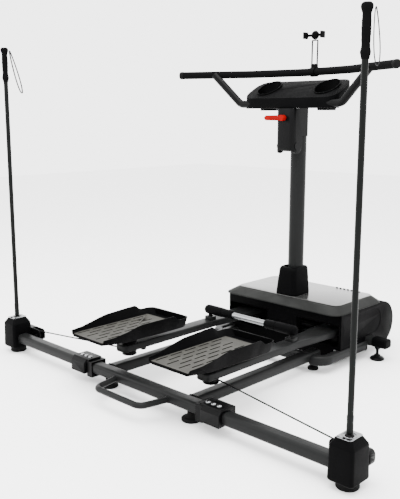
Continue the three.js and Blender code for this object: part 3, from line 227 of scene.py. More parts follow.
def rubber(name, colour, roughness, painted_shade_below=None):
    """Rubber: matt, with a fine pebbled skin and pale dust in the hollows; painted shade, almost black, below a
    height if one is given.
    """
    made = Finish(name, Specular_IOR_Level=0.05)
    dust = made.ramp(made.noise(24.0, 8.0, 0.65), 0.45, 0.8)
    face = made.blend(dust * 0.5, colour, shade(colour, 2.2))
    # Painted shade: below the given height, down the walls of the tread's slots, the colour goes almost black.
    if painted_shade_below is not None:
        face = made.blend(made.part(made.place(), 2) > painted_shade_below, shade(colour, 0.08), face)
    made.set("Base Color", face)
    pebbles = made.cells(900.0) * 0.5 + made.noise(1600.0, 3.0) * 0.5
    return made.skin(dust * 0.1 + roughness, pebbles, 0.00015, 0.7)


def bright(name, colour, roughness):
    """Bright plated metal: faint polishing lines and fingerprints that blur it."""
    made = Finish(name, Metallic=1.0, Base_Color=colour)
    smear = made.noise(30.0, 6.0, 0.6)
    lines = made.noise(260.0, 2.0, 0.5, (0.04, 1.0, 1.0))
    return made.skin(smear * 0.14 + lines * 0.1 + (roughness - 0.08), lines, 0.00002, 0.4)


def brushed(name, colour, roughness):
    """Satin metallic panel: brushed along X, with a few darker clouds."""
    made = Finish(name, Metallic=0.75)
    lines = made.noise(900.0, 3.0, 0.6, (0.02, 1.0, 1.0))
    cloud = made.noise(5.0, 4.0)
    dull = lines * 0.16 + cloud * 0.1 + (roughness - 0.12)
    return made.coat(colour, (0.72, 1.12), lines * 0.5 + cloud * 0.5, dull, lines, 0.00003, 0.5)


def foam(name, colour):
    """Foam sleeve: open cells, very matt."""
    made = Finish(name, Specular_IOR_Level=0.03)
    pores = made.ramp(made.cells(1100.0), 0.0, 0.55)
    wear = made.noise(14.0, 5.0)
    height = pores * 0.7 + made.noise(500.0, 3.0) * 0.3
    return made.coat(colour, (0.5, 1.5), pores * 0.5 + wear * 0.5, wear * 0.08 + 0.86, height, 0.0001, 0.4)


def webbing(name, colour):
    """Woven webbing, on the strap's own map: ribs across it and two finer rows of stitches."""
    made = Finish(name, Specular_IOR_Level=0.12)
    where = made.node("ShaderNodeTexCoord", outlet="UV")
    weave = made.wave(made.part(where), 900.0) * 0.6 + made.wave(made.part(where, 1), 75.0) * 0.4
    return made.coat(colour, (0.5, 1.8), weave, made.noise(40.0) * 0.1 + 0.78, weave, 0.0003, 0.8)


def drawn_alloy(name, colour):
    """Satin alloy tube: long drawing lines round which the shine shifts."""
    made = Finish(name, Specular_IOR_Level=0.06)
    lines = made.noise(700.0, 2.0, 0.5, (1.0, 1.0, 0.02))
    spots = made.ramp(made.noise(140.0, 6.0, 0.7), 0.6, 0.75)
    dull = lines * 0.14 + spots * 0.1 + 0.28
    return made.coat(colour, (0.7, 1.8), lines * 0.7 + spots * 0.3, dull, lines, 0.00003, 0.5)


def studio_floor(name, colour):
    """Seamless studio floor: pale, with the faintest mottling."""
    made = Finish(name, Specular_IOR_Level=0.2)
    cloud = made.noise(1.2, 3.0)
    return made.coat(colour, (0.985, 1.0), cloud, cloud * 0.05 + 0.72)


# Surfaces worked out on grids


def unit(vectors):
    """Vectors scaled to a length of 1."""
    return vectors / np.linalg.norm(vectors, axis=-1, keepdims=True)


def mesh_object(name, points, faces, maps=None):
    """A smooth mesh object from arrays, its normals turned outwards."""
    mesh = bpy.data.meshes.new(name)
    mesh.from_pydata(points.reshape(-1, 3).tolist(), [], faces)
    mesh.validate()
    if maps is not None:
        layer = mesh.uv_layers.new(name="Weave")
        loops = np.zeros(len(mesh.loops), dtype=np.int32)
        mesh.loops.foreach_get("vertex_index", loops)
        layer.data.foreach_set("uv", maps.reshape(-1, 2)[loops].astype(np.float32).ravel())
    return dressed(name, mesh)


def dressed(name, mesh, weld=1e-6, crease=38.0):
    """Welds a mesh's doubles, turns its faces outwards, shades it and gives its object."""
    work = bmesh.new()
    work.from_mesh(mesh)
    bmesh.ops.remove_doubles(work, verts=work.verts, dist=weld)
    bmesh.ops.recalc_face_normals(work, faces=work.faces)
    work.to_mesh(mesh)
    work.free()
    mesh.polygons.foreach_set("use_smooth", np.ones(len(mesh.polygons), dtype=bool))
    mesh.set_sharp_from_angle(angle=math.radians(crease))
    made = bpy.data.objects.new(name, mesh)
    bpy.context.scene.collection.objects.link(made)
    return made


def grid_faces(rows, columns, wrap_rows=False, wrap_columns=True):
    """Quads between neighbouring rows and columns of a grid, joined up where it wraps."""
    r = np.arange(rows if wrap_rows else rows - 1)
    c = np.arange(columns if wrap_columns else columns - 1)
    i, j = np.meshgrid(r, c, indexing="ij")
    down, right = (i + 1) % rows, (j + 1) % columns
    quads = [i * columns + j, i * columns + right, down * columns + right, down * columns + j]
    return np.stack(quads, axis=-1).reshape(-1, 4).tolist()


def capped_faces(rows, columns):
    """Quads round a stack of rings, with a flat cap on the first and the last."""
    last = (rows - 1) * columns
    return grid_faces(rows, columns) + [list(range(columns))[::-1], list(range(last, last + columns))]


def skinned(name, rings, maps=None):
    """Skins rings of points in order, with a flat cap at both ends unless the skin has a map."""
    rows, columns = rings.shape[:2]
    faces = capped_faces(rows, columns) if maps is None else grid_faces(rows, columns)
    return mesh_object(name, rings, faces, maps)


def many(name, rings, places):
    """Copies of one skinned form, one at each place, as a single mesh."""
    rows, columns = rings.shape[:2]
    faces = capped_faces(rows, columns)
    points = rings[None] + np.array(places)[:, None, None, :]
    shifts = np.arange(len(places)) * rows * columns
    return mesh_object(name, points, [[index + shift for index in face] for shift in shifts for face in faces])


def arc(radius, start, end, count):
    """Points r cos t, r sin t at even angles from a start to an end."""
    angle = np.linspace(start, end, count)
    return radius * np.stack([np.cos(angle), np.sin(angle)], axis=-1)


def circle(radius, sides):
    """A circle as (side, up) pairs."""
    return arc(radius, 0.0, 2.0 * math.pi, sides + 1)[:-1]


def box_section(width, height, corner, steps=4):
    """A rectangle with round corners, anticlockwise: each corner is a quarter circle about its own centre."""
    turns = np.linspace(0.0, math.pi / 2, steps + 1) + np.arange(4)[:, None] * math.pi / 2
    centre_u = np.array([1, -1, -1, 1])[:, None] * (width / 2 - corner)
    centre_v = np.array([1, 1, -1, -1])[:, None] * (height / 2 - corner)
    points = [centre_u + corner * np.cos(turns), centre_v + corner * np.sin(turns)]
    return np.stack(points, axis=-1).reshape(-1, 2)


def curve(start, corner, end, steps, weight=1.0):
    """A quadratic curve from start to end, drawn towards a corner: rational where the corner has a weight."""
    t = np.linspace(0.0, 1.0, steps + 1)[:, None]
    shares = (1 - t) ** 2, 2 * t * (1 - t) * weight, t**2
    return sum(share * point[..., None, :] for share, point in zip(shares, (start, corner, end))) / sum(shares)


def corner_curves(before, corner, after, radius, steps):
    """Curves between the points that far along both sides of each corner, or 0.45 of its shorter side."""
    arms = before - corner, after - corner
    spans = [np.linalg.norm(arm, axis=-1, keepdims=True) + 1e-9 for arm in arms]
    reach = np.minimum(radius, 0.45 * np.minimum(*spans))
    start, end = (corner + arm / span * reach for arm, span in zip(arms, spans))
    return curve(start, corner, end, steps)


def rounded_profile(profile, radius, steps=4):
    """Rounds each inner corner of a profile, so that turned edges catch the light."""
    points = np.array(profile, dtype=float)
    curves = corner_curves(points[:-2], points[1:-1], points[2:], radius, steps)
    return np.concatenate([points[:1], curves.reshape(-1, 2), points[-1:]])


def rounded_loops(corners, radius, steps=3):
    """Rounds every corner of closed loops."""
    before, after = np.roll(corners, 1, axis=-2), np.roll(corners, -1, axis=-2)
    return corner_curves(before, corners, after, radius, steps).reshape(*corners.shape[:-2], -1, 2)


def bent(corners, radius, steps=12):
    """A path through corners, each rounded by a curve that leaves the straight at the bend's tangent."""
    corners = np.array(corners, dtype=float)
    sides, here = unit(np.diff(corners, axis=0)), corners[1:-1]
    into, out = sides[:-1], sides[1:]
    half = np.arccos(np.clip((into * out).sum(axis=1, keepdims=True), -1.0, 1.0)) / 2
    reach = radius * np.tan(half)
    curves = curve(here - into * reach, here, here + out * reach, steps, np.cos(half)[:, None])
    return np.concatenate([corners[:1], curves.reshape(-1, 3), corners[-1:]])


def carried(path, section, up=UP, closed=False):
    """Rings of a section (side, up) carried along a path, square to it, its up kept nearest to the given one."""
    path = np.array(path, dtype=float)
    ring = np.roll(path, -1, axis=0) - np.roll(path, 1, axis=0)
    along = unit(ring if closed else np.gradient(path, axis=0))
    side = unit(np.cross(along, up))
    top = np.cross(side, along)
    return path[:, None] + side[:, None] * section[None, :, :1] + top[:, None] * section[None, :, 1:]


def tube(name, path, section, up=UP):
    """A section carried along a path and capped."""
    return skinned(name, carried(path, section, up))


def loop_tube(name, path, radius, up, sides=10):
    """A round bead along a closed path."""
    rings = carried(path, circle(radius, sides), up, closed=True)
    return mesh_object(name, rings, grid_faces(*rings.shape[:2], wrap_rows=True))


def turned(name, profile, centre, sides=40, rounding=0.0, axis="z"):
    """A profile of (radius, height) pairs turned about an axis through a centre: r cos t, r sin t, h."""
    profile = rounded_profile(profile, rounding) if rounding else np.array(profile, dtype=float)
    radius, height = profile[:, :1], profile[:, 1:]
    u, v = (radius * share for share in circle(1.0, sides).T)
    w = height + 0 * u
    order = {"x": (w, u, v), "y": (v, w, u), "z": (u, v, w)}[axis]
    return skinned(name, np.stack(order, axis=-1) + np.array(centre))


def level(loop, z):
    """A flat loop at a height."""
    return np.column_stack([loop, np.full(len(loop), z)])


def level_rings(levels, steps=6):
    """Rounded rectangles at heights: each level is (half x, half y, corner, z, centre x, centre y)."""
    return np.array(
        [level(box_section(2 * u, 2 * v, corner, steps) + (x, y), z) for u, v, corner, z, x, y in levels]
    )


def inset(loop, distance):
    """Moves each point of an anticlockwise loop inwards, square to both of its sides."""
    along = unit(np.roll(loop, -1, axis=0) - loop)
    normal = np.stack([-along[:, 1], along[:, 0]], axis=-1)
    both = normal + np.roll(normal, 1, axis=0)
    return loop + distance * both / (both * normal).sum(axis=1, keepdims=True)


def slab(name, loop, low, high, edge, axis="z", steps=4):
    """A flat outline given a thickness, both rims a quarter circle: inset e(1 - sin a) at height e(1 - cos a)."""
    rise, out = (edge * (1 - share) for share in arc(1.0, 0.0, math.pi / 2, steps + 1).T)
    insets, heights = np.concatenate([out, out[::-1]]), np.concatenate([low + rise, high - rise[::-1]])
    flat = np.stack([inset(loop, distance) for distance in insets])
    u, v = flat[..., 0], flat[..., 1]
    tall = np.broadcast_to(heights[:, None], u.shape)
    return skinned(name, np.stack({"x": (tall, u, v), "z": (u, v, tall)}[axis], axis=-1))


# Sizes and colours that a user would change


def length(default, description):
    """A length in metres."""
    kind = bpy.props.FloatProperty
    return kind(name=description, default=default, min=0.0, precision=4, unit="LENGTH")


def tint(default, description):
    """A colour."""
    kind = bpy.props.FloatVectorProperty
    return kind(name=description, default=default, min=0.0, max=1.0, subtype="COLOR", size=3)


def power(default, description):
    """A lamp's power in watts."""
    return bpy.props.FloatProperty(name=description, default=default, min=0.0, unit="POWER")


class SkiColours(bpy.types.PropertyGroup):
    """Colours of the simulator."""

    frame: tint((0.0055, 0.0057, 0.0057), "Satin paint on the tubes and arms")
    steel: tint((0.0009, 0.0009, 0.001), "Black hinges, brackets and neck")
    plastic: tint((0.0007, 0.0007, 0.0008), "Moulded housings, boxes and tray")
    bevel: tint((0.0105, 0.0108, 0.0104), "Bevelled cover of the housing")
    rubber: tint((0.002, 0.002, 0.002), "Feet")
    tread: tint((0.026, 0.0253, 0.0225), "Slotted treads of the pedals")
    panel: tint((0.06, 0.06, 0.058), "Bright panel on the housing")
    chrome: tint((0.17, 0.174, 0.178), "Tie rod, ball plates and bolts")
    pole: tint((0.0018, 0.0022, 0.002), "Ski pole shafts")
    grip: tint((0.0012, 0.0012, 0.0013), "Pole grips and handlebar sleeve")
    strap: tint((0.007, 0.007, 0.0074), "Wrist straps")
    lever: tint((0.14, 0.0012, 0.0012), "Lock lever")


class SkiFrame(bpy.types.PropertyGroup):
    """Sizes of the base frame."""

    tube_width: length(0.05, "Width of the main tubes")
    tube_height: length(0.04, "Height of the main tubes")
    tube_corner: length(0.013, "Corner radius of every tube")
    side_width: length(0.04, "Side of the square tubes under the housing")
    side_bend: length(0.044, "Bend radius of the side tubes")
    bead: length(0.0022, "Radius of the weld beads")
    loop_radius: length(0.011, "Radius of the pull handle's tube")
    edge: length(0.0014, "Rounding on cut steel")
    sleeve: length(0.07, "Length of the rear tube's end sleeves")


class SkiOutriggers(bpy.types.PropertyGroup):
    """Sizes of the folding outriggers."""

    bolt_radius: length(0.0086, "Radius of the domed bolts")
    bolt_dome: length(0.0058, "Height of the domed bolts")
    box_corner: length(0.011, "Corner radius of the end boxes")
    box_bevel: length(0.017, "How far the end box's bevel goes in")
    box_shoulder: length(0.022, "Height of the end box's bevel")
    flange: length(0.0212, "Radius of the bright ring at the pole's foot")
    cable: length(0.0027, "Radius of the cables")


class SkiPoles(bpy.types.PropertyGroup):
    """Sizes of the ski poles."""

    shaft: length(0.0088, "Radius of the shafts")
    foot: length(0.0099, "Radius of the thicker foot of the shafts")
    ridge: length(0.00025, "Depth of the finger ridges on the grips")
    strap_width: length(0.015, "Width of the wrist straps")
    strap_thickness: length(0.0021, "Thickness of the wrist straps")


class SkiPedals(bpy.types.PropertyGroup):
    """Sizes of the arms and pedals."""

    arm_half: length(0.03, "Half the width of a foot arm")
    flare_half: length(0.052, "Half the width of a foot arm where it flares")
    tail: length(0.046, "Radius of the arm's rear end")
    wall: length(0.004, "Thickness of the pedal's walls")
    lip: length(0.002, "Rounding on the pedal's rim")
    rod: length(0.012, "Radius of the tie rod")
    sleeve: length(0.02, "Radius of the tie rod's sleeves")


class SkiHousing(bpy.types.PropertyGroup):
    """Sizes of the housing, the post and the boot."""

    bevel_edge: length(0.005, "Rounding where the cover's bevel starts and ends")
    panel_edge: length(0.001, "Rounding on the bright panel")
    vent_length: length(0.011, "Length of one vent slot")
    vent_pitch: length(0.019, "Distance from one vent slot to the next")
    bezel: length(0.0022, "Radius of the trim round the front openings")
    post: length(0.033, "Radius of the post")
    dip: length(0.007, "How far the boot's top dips in the middle")


class SkiConsole(bpy.types.PropertyGroup):
    """Sizes of the handlebar, tray and neck."""

    bar: length(0.0155, "Radius of the handlebar and its support")
    cap_lip: length(0.0008, "How far an end cap stands proud of the bar")
    bar_bend: length(0.15, "Bend radius of the handlebar")
    support_bend: length(0.042, "Bend radius of the support tube")
    cup_rim: length(0.0026, "Radius of the raised rim round a cup")
    edge: length(0.0022, "Rounding on the moulded parts")


class SkiStage(bpy.types.PropertyGroup):
    """Floor, lights and surroundings."""

    floor: tint((0.9, 0.9, 0.9), "Colour of the floor")
    floor_half: length(9.0, "Half the width of the floor")
    key: power(300.0, "Soft light above")
    side: power(40.0, "Soft light on the right")
    front: power(60.0, "Soft light on the left")
    sky: bpy.props.FloatProperty(name="Brightness of the surroundings", default=4.2, min=0.0)


GROUPS = {
    "ski_colours": SkiColours,
    "ski_frame": SkiFrame,
    "ski_outriggers": SkiOutriggers,
    "ski_poles": SkiPoles,
    "ski_pedals": SkiPedals,
    "ski_housing": SkiHousing,
    "ski_console": SkiConsole,
    "ski_stage": SkiStage,
}

# Each finish: how it is made, its colour in the settings, and the rest that its maker takes
FINISHES = {
    "Frame paint": (paint, "frame", 0.36),
    "Black steel": (paint, "steel", 0.42),
    "Black plastic": (moulded, "plastic", 0.48),
    "Cover plastic": (moulded, "bevel", 0.34, 2200.0, 0.00005),
    "Foot rubber": (rubber, "rubber", 0.7),
    # Tread: under this height, just below its top face, the slot walls get painted shade.
    "Tread rubber": (rubber, "tread", 0.55, box("left_tread")[1][2] - 0.0006),
    "Top panel": (brushed, "panel", 0.2),
    "Bright steel": (bright, "chrome", 0.16),
    "Pole alloy": (drawn_alloy, "pole"),
    "Grip foam": (foam, "grip"),
    "Strap webbing": (webbing, "strap"),
    "Lever red": (moulded, "lever", 0.35, 1800.0, 0.00004),
    "Cable": (rubber, "rubber", 0.45),
}


def finish(name):
    """A finish by name, made the first time that it is asked for."""
    make, colour, *rest = FINISHES[name]
    return bpy.data.materials.get(name) or make(name, getattr(bpy.context.scene.ski_colours, colour), *rest)


# Placing a piece


def give(piece, node, coat, stands=True, rides=True):
    """Puts a finish on a piece, and lets it ride with a node's body and stand for that node."""
    piece.data.materials.clear()
    piece.data.materials.append(finish(coat))
    if rides:
        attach(piece, BODY_OF[node])
    if stands:
        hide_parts(node)
    return piece


def extra(piece, node, coat):
    """A finished piece that rides with a node's body beside the node."""
    return give(piece, node, coat, stands=False)


def softened(node, coat, edge, segments=2):
    """A copy of a node, welded, with rounded edges, that stands for it."""
    sharp_degrees = 32.0
    piece = dressed(node + "_skin", frame["nodes"][node].data.copy(), 1e-5, sharp_degrees)
    bevel = piece.modifiers.new("Edges", "BEVEL")
    bevel.width = edge
    bevel.segments = segments
    bevel.limit_method = "ANGLE"
    bevel.angle_limit = math.radians(sharp_degrees)
    bevel.harden_normals = True
    return give(piece, node, coat)


class Piece:
    """What every operator here does: it builds its pieces from the scene's settings."""

    def execute(self, context):
        self.build(context.scene)
        return {"FINISHED"}


# Stage


def soft_light(name, place, width, watts):
    """A square soft light at a place, turned towards the simulator."""
    light = bpy.data.lights.new(name, "AREA")
    light.shape = "RECTANGLE"
    light.size = light.size_y = width
    light.energy = watts
    lamp = bpy.data.objects.new(name, light)
    lamp.location = place
    x, y, z = unit(np.array([0.0, 0.0, 0.3]) - place)
    lamp.rotation_euler = (math.acos(-z), 0.0, math.atan2(-x, y))
    bpy.context.scene.collection.objects.link(lamp)


class SKI_OT_stage(Piece, bpy.types.Operator):
    """Wide floor, soft lights, pale surroundings and the camera"""

    bl_idname = "ski.stage"
    bl_label = "Stage"

    def build(self, scene):
        size = scene.ski_stage
        lines = 41
        x, y = np.meshgrid(*[np.linspace(-size.floor_half, size.floor_half, lines)] * 2, indexing="ij")
        points = np.stack([x, y, np.full_like(x, -0.0002)], axis=-1)
        floor = mesh_object("floor", points, grid_faces(lines, lines, wrap_columns=False))
        floor.data.materials.append(studio_floor("Floor", size.floor))
        soft_light("Key", (0.4, -0.6, 3.6), 3.0, size.key)
        soft_light("Side", (3.4, 0.4, 2.2), 2.2, size.side)
        soft_light("Front", (-2.6, -2.8, 2.0), 2.0, size.front)
        scene.world = bpy.data.worlds.new("Surroundings")
        scene.world.use_nodes = True
        sky = scene.world.node_tree.nodes["Background"].inputs
        sky["Color"].default_value = (1.0, 1.0, 1.0, 1.0)
        sky["Strength"].default_value = size.sky
        lens = bpy.data.cameras.new("Camera")
        lens.lens, lens.sensor_width, lens.clip_end = 51.41, 36.0, 100.0
        camera = bpy.data.objects.new("Camera", lens)
        camera.location = (1.8107, AXIS_Y - 1.5762, 1.0019)
        camera.rotation_euler = (math.radians(90.0 - 10.58), 0.0, math.radians(44.36))
        scene.collection.objects.link(camera)
        scene.camera = camera


# Base frame


def weld_bead(name, node, centre, section, axis, radius):
    """A bead round a tube's end: the section's outline at one place along the axis."""
    u, v = section.T
    order, up = {"x": ((0 * u, u, v), ALONG_X), "y": ((u, 0 * u, v), ALONG_Y)}[axis]
    bead = loop_tube(name, np.stack(order, axis=-1) + np.array(centre), radius, up, 8)
    extra(bead, node, "Frame paint")


class SKI_OT_frame_tubes(Piece, bpy.types.Operator):
    """Cross tubes, rails and side tubes: rounded rectangles carried along their centre lines"""

    bl_idname = "ski.frame_tubes"
    bl_label = "Frame tubes"

    def build(self, scene):
        size = scene.ski_frame
        wide = (size.tube_width, size.tube_height, size.tube_corner)
        square = (size.side_width, size.side_width, size.tube_corner)
        across = dict.fromkeys(("cross_tube", "left_outrigger_tube", "right_outrigger_tube"), wide)
        for node, widths in {**across, "rear_crossmember": square}.items():
            low, high, (_, y, z), _ = box(node)
            path = [(low[0], y, z), (high[0], y, z)]
            give(tube(node + "_body", path, box_section(*widths, 6)), node, "Frame paint")
        cross_rear, rear_front = box("cross_tube")[1][1], box("rear_cross_tube")[0][1]
        turn_y = middle("rear_crossmember")[1]
        half, side_half, tail, sunk = size.tube_width / 2, size.side_width / 2, 0.035, 0.001
        for side, sign in SIDES.items():
            node = side + "_rail"
            low, high = box(node)[:2]
            inner, outer = sign * np.sort(np.abs([low[0], high[0]]))
            x, z, side_z = inner + sign * half, high[2] - size.tube_height / 2, low[2] + side_half
            path = [(x, low[1], z), (x, turn_y + side_half + tail, z)]
            give(tube(node + "_body", path, box_section(*wide, 6)), node, "Frame paint")
            start = (x + sign * (half - sunk), turn_y, side_z)
            side_x = outer - sign * side_half
            route = bent([start, (side_x, turn_y, side_z), (side_x, high[1], side_z)], size.side_bend)
            extra(tube(side + "_side_tube", route, box_section(*square, 6)), node, "Frame paint")
            beads = {
                "rail": ((x, cross_rear, z), wide, "y"),
                "side": (start, square, "x"),
                "member": ((inner, turn_y, side_z), square, "x"),
                "rear": ((side_x, rear_front, side_z), square, "y"),
            }
            for name, (place, widths, axis) in beads.items():
                weld_bead(f"{side}_{name}_weld", node, place, box_section(*widths, 5), axis, size.bead)


class SKI_OT_rear_tube(Piece, bpy.types.Operator):
    """Rear cross tube with a domed black sleeve on each end"""

    bl_idname = "ski.rear_tube"
    bl_label = "Rear tube"

    def build(self, scene):
        size = scene.ski_frame
        node, slack, dome = "rear_cross_tube", 0.001, 0.0075
        low, high, (_, y, z), half = box(node)
        section = box_section(size.tube_width, 2 * half[2] - slack, size.tube_corner, 6)
        path = [(low[0] + size.sleeve / 2, y, z), (high[0] - size.sleeve / 2, y, z)]
        give(tube(node + "_body", path, section), node, "Frame paint")
        loop = box_section(2 * half[1], 2 * half[2], size.tube_corner, 6) + (y, z)
        for side, start in (("left", low[0]), ("right", high[0] - size.sleeve)):
            cap = slab(side + "_tube_cap", loop, start, start + size.sleeve, dome, "x", 6)
            extra(cap, node, "Black plastic")


class SKI_OT_pull_handle(Piece, bpy.types.Operator):
    """Pull handle: a round tube carried round its loop, with a bead at each root"""

    bl_idname = "ski.pull_handle"
    bl_label = "Pull handle"

    def build(self, scene):
        size = scene.ski_frame
        node = "pull_handle"
        low, high, (_, _, z), _ = box(node)
        section = circle(size.loop_radius, 28)
        root = np.array([high[0] - size.loop_radius, high[1] + 0.004, z])
        turn = np.array([0.118, low[1] + size.loop_radius, z])
        mirror = (-1, 1, 1)
        path = bent([root * mirror, turn * mirror, turn, root], 0.032)
        give(tube(node + "_body", path, section), node, "Frame paint")
        for side, sign in SIDES.items():
            weld_bead(side + "_handle_weld", node, (sign * root[0], high[1], z), section, "y", size.bead)


class SKI_OT_feet(Piece, bpy.types.Operator):
    """Rubber feet and the threaded levelling feet: turned profiles"""

    bl_idname = "ski.feet"
    bl_label = "Feet"

    def build(self, scene):
        rod, nut, pitch, groove = 0.0062, 0.011, 0.00062, 0.0006
        for node in (side + which for side in SIDES for which in ("_front_foot", "_mid_foot", "_rear_foot")):
            high, (x, y, _), (radius, _, _) = box(node)[1:]
            top = high[2]
            profile = [(0, 0), (radius - 0.002, 0), (radius, 0.003)]
            if "rear" in node:
                profile += [(radius, 0.007), (radius * 0.8, 0.0125), (0.0135, 0.016), (0.0125, 0.022), (rod, 0.0225)]
                profile += [(rod - groove * (k % 2), h) for k, h in enumerate(np.arange(0.0226, 0.046, pitch))]
                profile += [(rod, 0.0465), (nut, 0.0468), (nut, 0.0555), (rod, 0.0559), (0.006, top), (0, top)]
                give(turned(node + "_body", profile, (x, y, 0.0), 36), node, "Black steel")
            else:
                profile += [(radius, 0.009), (radius - 0.003, 0.0125), (radius * 0.62, 0.014), (radius * 0.5, 0.019)]
                profile += [(0.0145, 0.022), (0.0135, top), (0, top)]
                give(turned(node + "_body", profile, (x, y, 0.0), 40, 0.0012), node, "Foot rubber")


# Outriggers


class SKI_OT_hinges(Piece, bpy.types.Operator):
    """Hinge blocks and collars with rounded edges, and three domed bolts on each collar"""

    bl_idname = "ski.hinges"
    bl_label = "Hinges"

    def build(self, scene):
        size = scene.ski_outriggers
        radius, dome, shank = size.bolt_radius, size.bolt_dome, 0.004
        for side, sign in SIDES.items():
            for node in (side + "_hinge_block", side + "_hinge_collar"):
                softened(node, "Black steel", scene.ski_frame.edge)
            low, high = box(node)[:2]
            start, top = np.abs([low[0], high[0]]).min() + 0.015, high[2] - 0.005
            profile = [(0, top - shank), (radius, top - shank), (radius, top), (radius * 0.96, top + dome * 0.35)]
            profile += [(radius * 0.75, top + dome * 0.75), (radius * 0.42, top + dome * 0.97), (0, top + dome)]
            for number, out in enumerate((0.004, 0.028, 0.053), 1):
                place = (sign * (start + out), AXIS_Y - 0.006, 0.0)
                bolt = turned(f"{side}_bolt_{number}", profile, place, 28, 0.0015)
                extra(bolt, node, "Bright steel")


class SKI_OT_end_boxes(Piece, bpy.types.Operator):
    """End boxes: rounded rectangles skinned up to a wide top bevel, on a turned foot"""

    bl_idname = "ski.end_boxes"
    bl_label = "End boxes"

    def build(self, scene):
        size = scene.ski_outriggers
        bottom, mouth, bevel = 0.024, 0.0255, size.box_bevel
        foot = [(0, 0), (0.0315, 0), (0.034, 0.0035), (0.034, 0.0075), (0.032, 0.009), (0.033, 0.0115)]
        foot += [(0.034, 0.027), (0, 0.027)]
        for side in SIDES:
            node = side + "_end_box"
            _, high, (x, y, _), (half_x, half_y, _) = box(node)
            top = high[2]
            profile = [(0.004, bottom), (0.0, bottom + 0.004), (0.0025, top - size.box_shoulder), (bevel, top)]
            profile += [(bevel + 0.003, top), (mouth, top), (mouth, top - 0.02)]
            levels = [
                (half_x - d, half_y - d, max(size.box_corner - d * 0.3, 0.004), z, x, y)
                for d, z in rounded_profile(profile, 0.0035, 5)
            ]
            give(skinned(node + "_shell", level_rings(levels)), node, "Black plastic")
            pad = turned(side + "_end_foot", foot, (x, y, 0.0), 44, 0.001)
            extra(pad, node, "Foot rubber")


class SKI_OT_ball_joints(Piece, bpy.types.Operator):
    """Bright plate, turned flange and ball at each pole's foot, with a small dark bolt in front"""

    bl_idname = "ski.ball_joints"
    bl_label = "Ball joints"

    def build(self, scene):
        flange = scene.ski_outriggers.flange
        bore = flange - 0.0022
        for side in SIDES:
            node, ball = side + "_ball_socket", side + "_pole_ball"
            softened(node, "Bright steel", 0.0004)
            _, high, (x, y, _), _ = box(node)
            top = high[2]
            low_z = top - 0.001
            ring = [(bore, low_z), (flange, low_z), (flange, top + 0.0006)]
            ring += [(flange - 0.0006, top + 0.0012), (bore, top + 0.0012), (bore, low_z)]
            extra(turned(side + "_ball_flange", ring, (x, y, 0.0), 48), node, "Bright steel")
            head = [(0, low_z), (0.0046, low_z), (0.0046, top + 0.002), (0.003, top + 0.0034), (0, top + 0.0036)]
            bolt = turned(side + "_plate_bolt", head, (x, y - 0.0275, 0.0), 20, 0.0008)
            extra(bolt, node, "Black steel")
            _, _, centre, (radius, _, _) = box(ball)
            profile = arc(radius, -math.pi / 2, math.pi / 2, 25)
            give(turned(side + "_ball", profile, centre), ball, "Black steel")


class SKI_OT_pulleys(Piece, bpy.types.Operator):
    """Pulley brackets with rounded edges, and turned grooved wheels"""

    bl_idname = "ski.pulleys"
    bl_label = "Pulleys"

    def build(self, scene):
        bore, groove, edge, rim = 0.0063, 0.0042, 0.001, 0.0015
        for side in SIDES:
            softened(side + "_pulley_bracket", "Black steel", 0.0022, 3)
            node = side + "_pulley"
            _, _, centre, (radius, half, _) = box(node)
            outer = np.array([(bore, half), (radius - edge, half), (radius, half - edge), (radius, half - rim)])
            round_in = (radius, 0.0) + arc(groove, 0.0, math.pi, 9)[:, ::-1] * (-1, -1)
            wheel = np.concatenate([outer * (1, -1), round_in, outer[::-1], [(bore, -half)]])
            give(turned(node + "_wheel", wheel, centre, 44, axis="y"), node, "Black plastic")


class SKI_OT_cables(Piece, bpy.types.Operator):
    """Cables: a round section carried from the arm's stub over the pulley, and a turn round the stub"""

    bl_idname = "ski.cables"
    bl_label = "Cables"

    def build(self, scene):
        radius, cad_radius, wrap_radius = scene.ski_outriggers.cable, 0.002, 0.0222
        for side, sign in SIDES.items():
            node = side + "_cable"
            low, high = box(node)[:2]
            stub_x = min(low[0], high[0], key=abs)
            stub = np.array([stub_x, high[1] - cad_radius, high[2] - cad_radius])
            pulley = middle(side + "_pulley")
            top = np.array([pulley[0], pulley[1], low[2] + cad_radius])
            up, out = arc(top[2] - pulley[2], 0.0, math.radians(64.0), 9)[1:].T
            over = pulley + np.stack([sign * out, 0 * out, up], axis=-1)
            straight = stub + (top - stub) * np.linspace(0.0, 1.0, 24)[:, None]
            piece = tube(node + "_run", np.concatenate([straight, over]), circle(radius, 12))
            give(piece, node, "Cable", rides=False)
            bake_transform(piece)
            u, v = arc(wrap_radius, math.radians(56.0), math.radians(300.0), 30).T
            arm_x = middle(side + "_arm")[0]
            wrap = np.stack([arm_x + sign * u, STUB_Y + v, np.full_like(u, stub[2])], axis=-1)
            lead = stub + (wrap[:1] - stub) * np.linspace(0.0, 0.9, 4)[:, None]
            hook = tube(side + "_cable_turn", np.concatenate([lead, wrap]), circle(radius, 10))
            extra(hook, side + "_arm", "Cable")


# Ski poles


class SKI_OT_poles(Piece, bpy.types.Operator):
    """Pole shafts: a turned tube with a thicker foot and a ferrule"""

    bl_idname = "ski.poles"
    bl_label = "Poles"

    def build(self, scene):
        foot, shaft = scene.ski_poles.foot, scene.ski_poles.shaft
        for side in SIDES:
            node = side + "_pole_shaft"
            (start, end), (x, y) = (corner[2] for corner in box(node)[:2]), middle(side + "_pole_ball")[:2]
            profile = [(0, start), (foot, start), (foot, start + 0.024), (foot - 0.0006, start + 0.026)]
            profile += [(shaft + 0.0012, start + 0.045), (shaft + 0.0011, start + 0.05), (shaft, start + 0.0515)]
            profile += [(shaft, start + 0.4), (shaft, end - 0.09), (shaft, end), (0, end)]
            give(turned(node + "_tube", profile, (x, y, 0.0), 28, 0.0012), node, "Pole alloy")


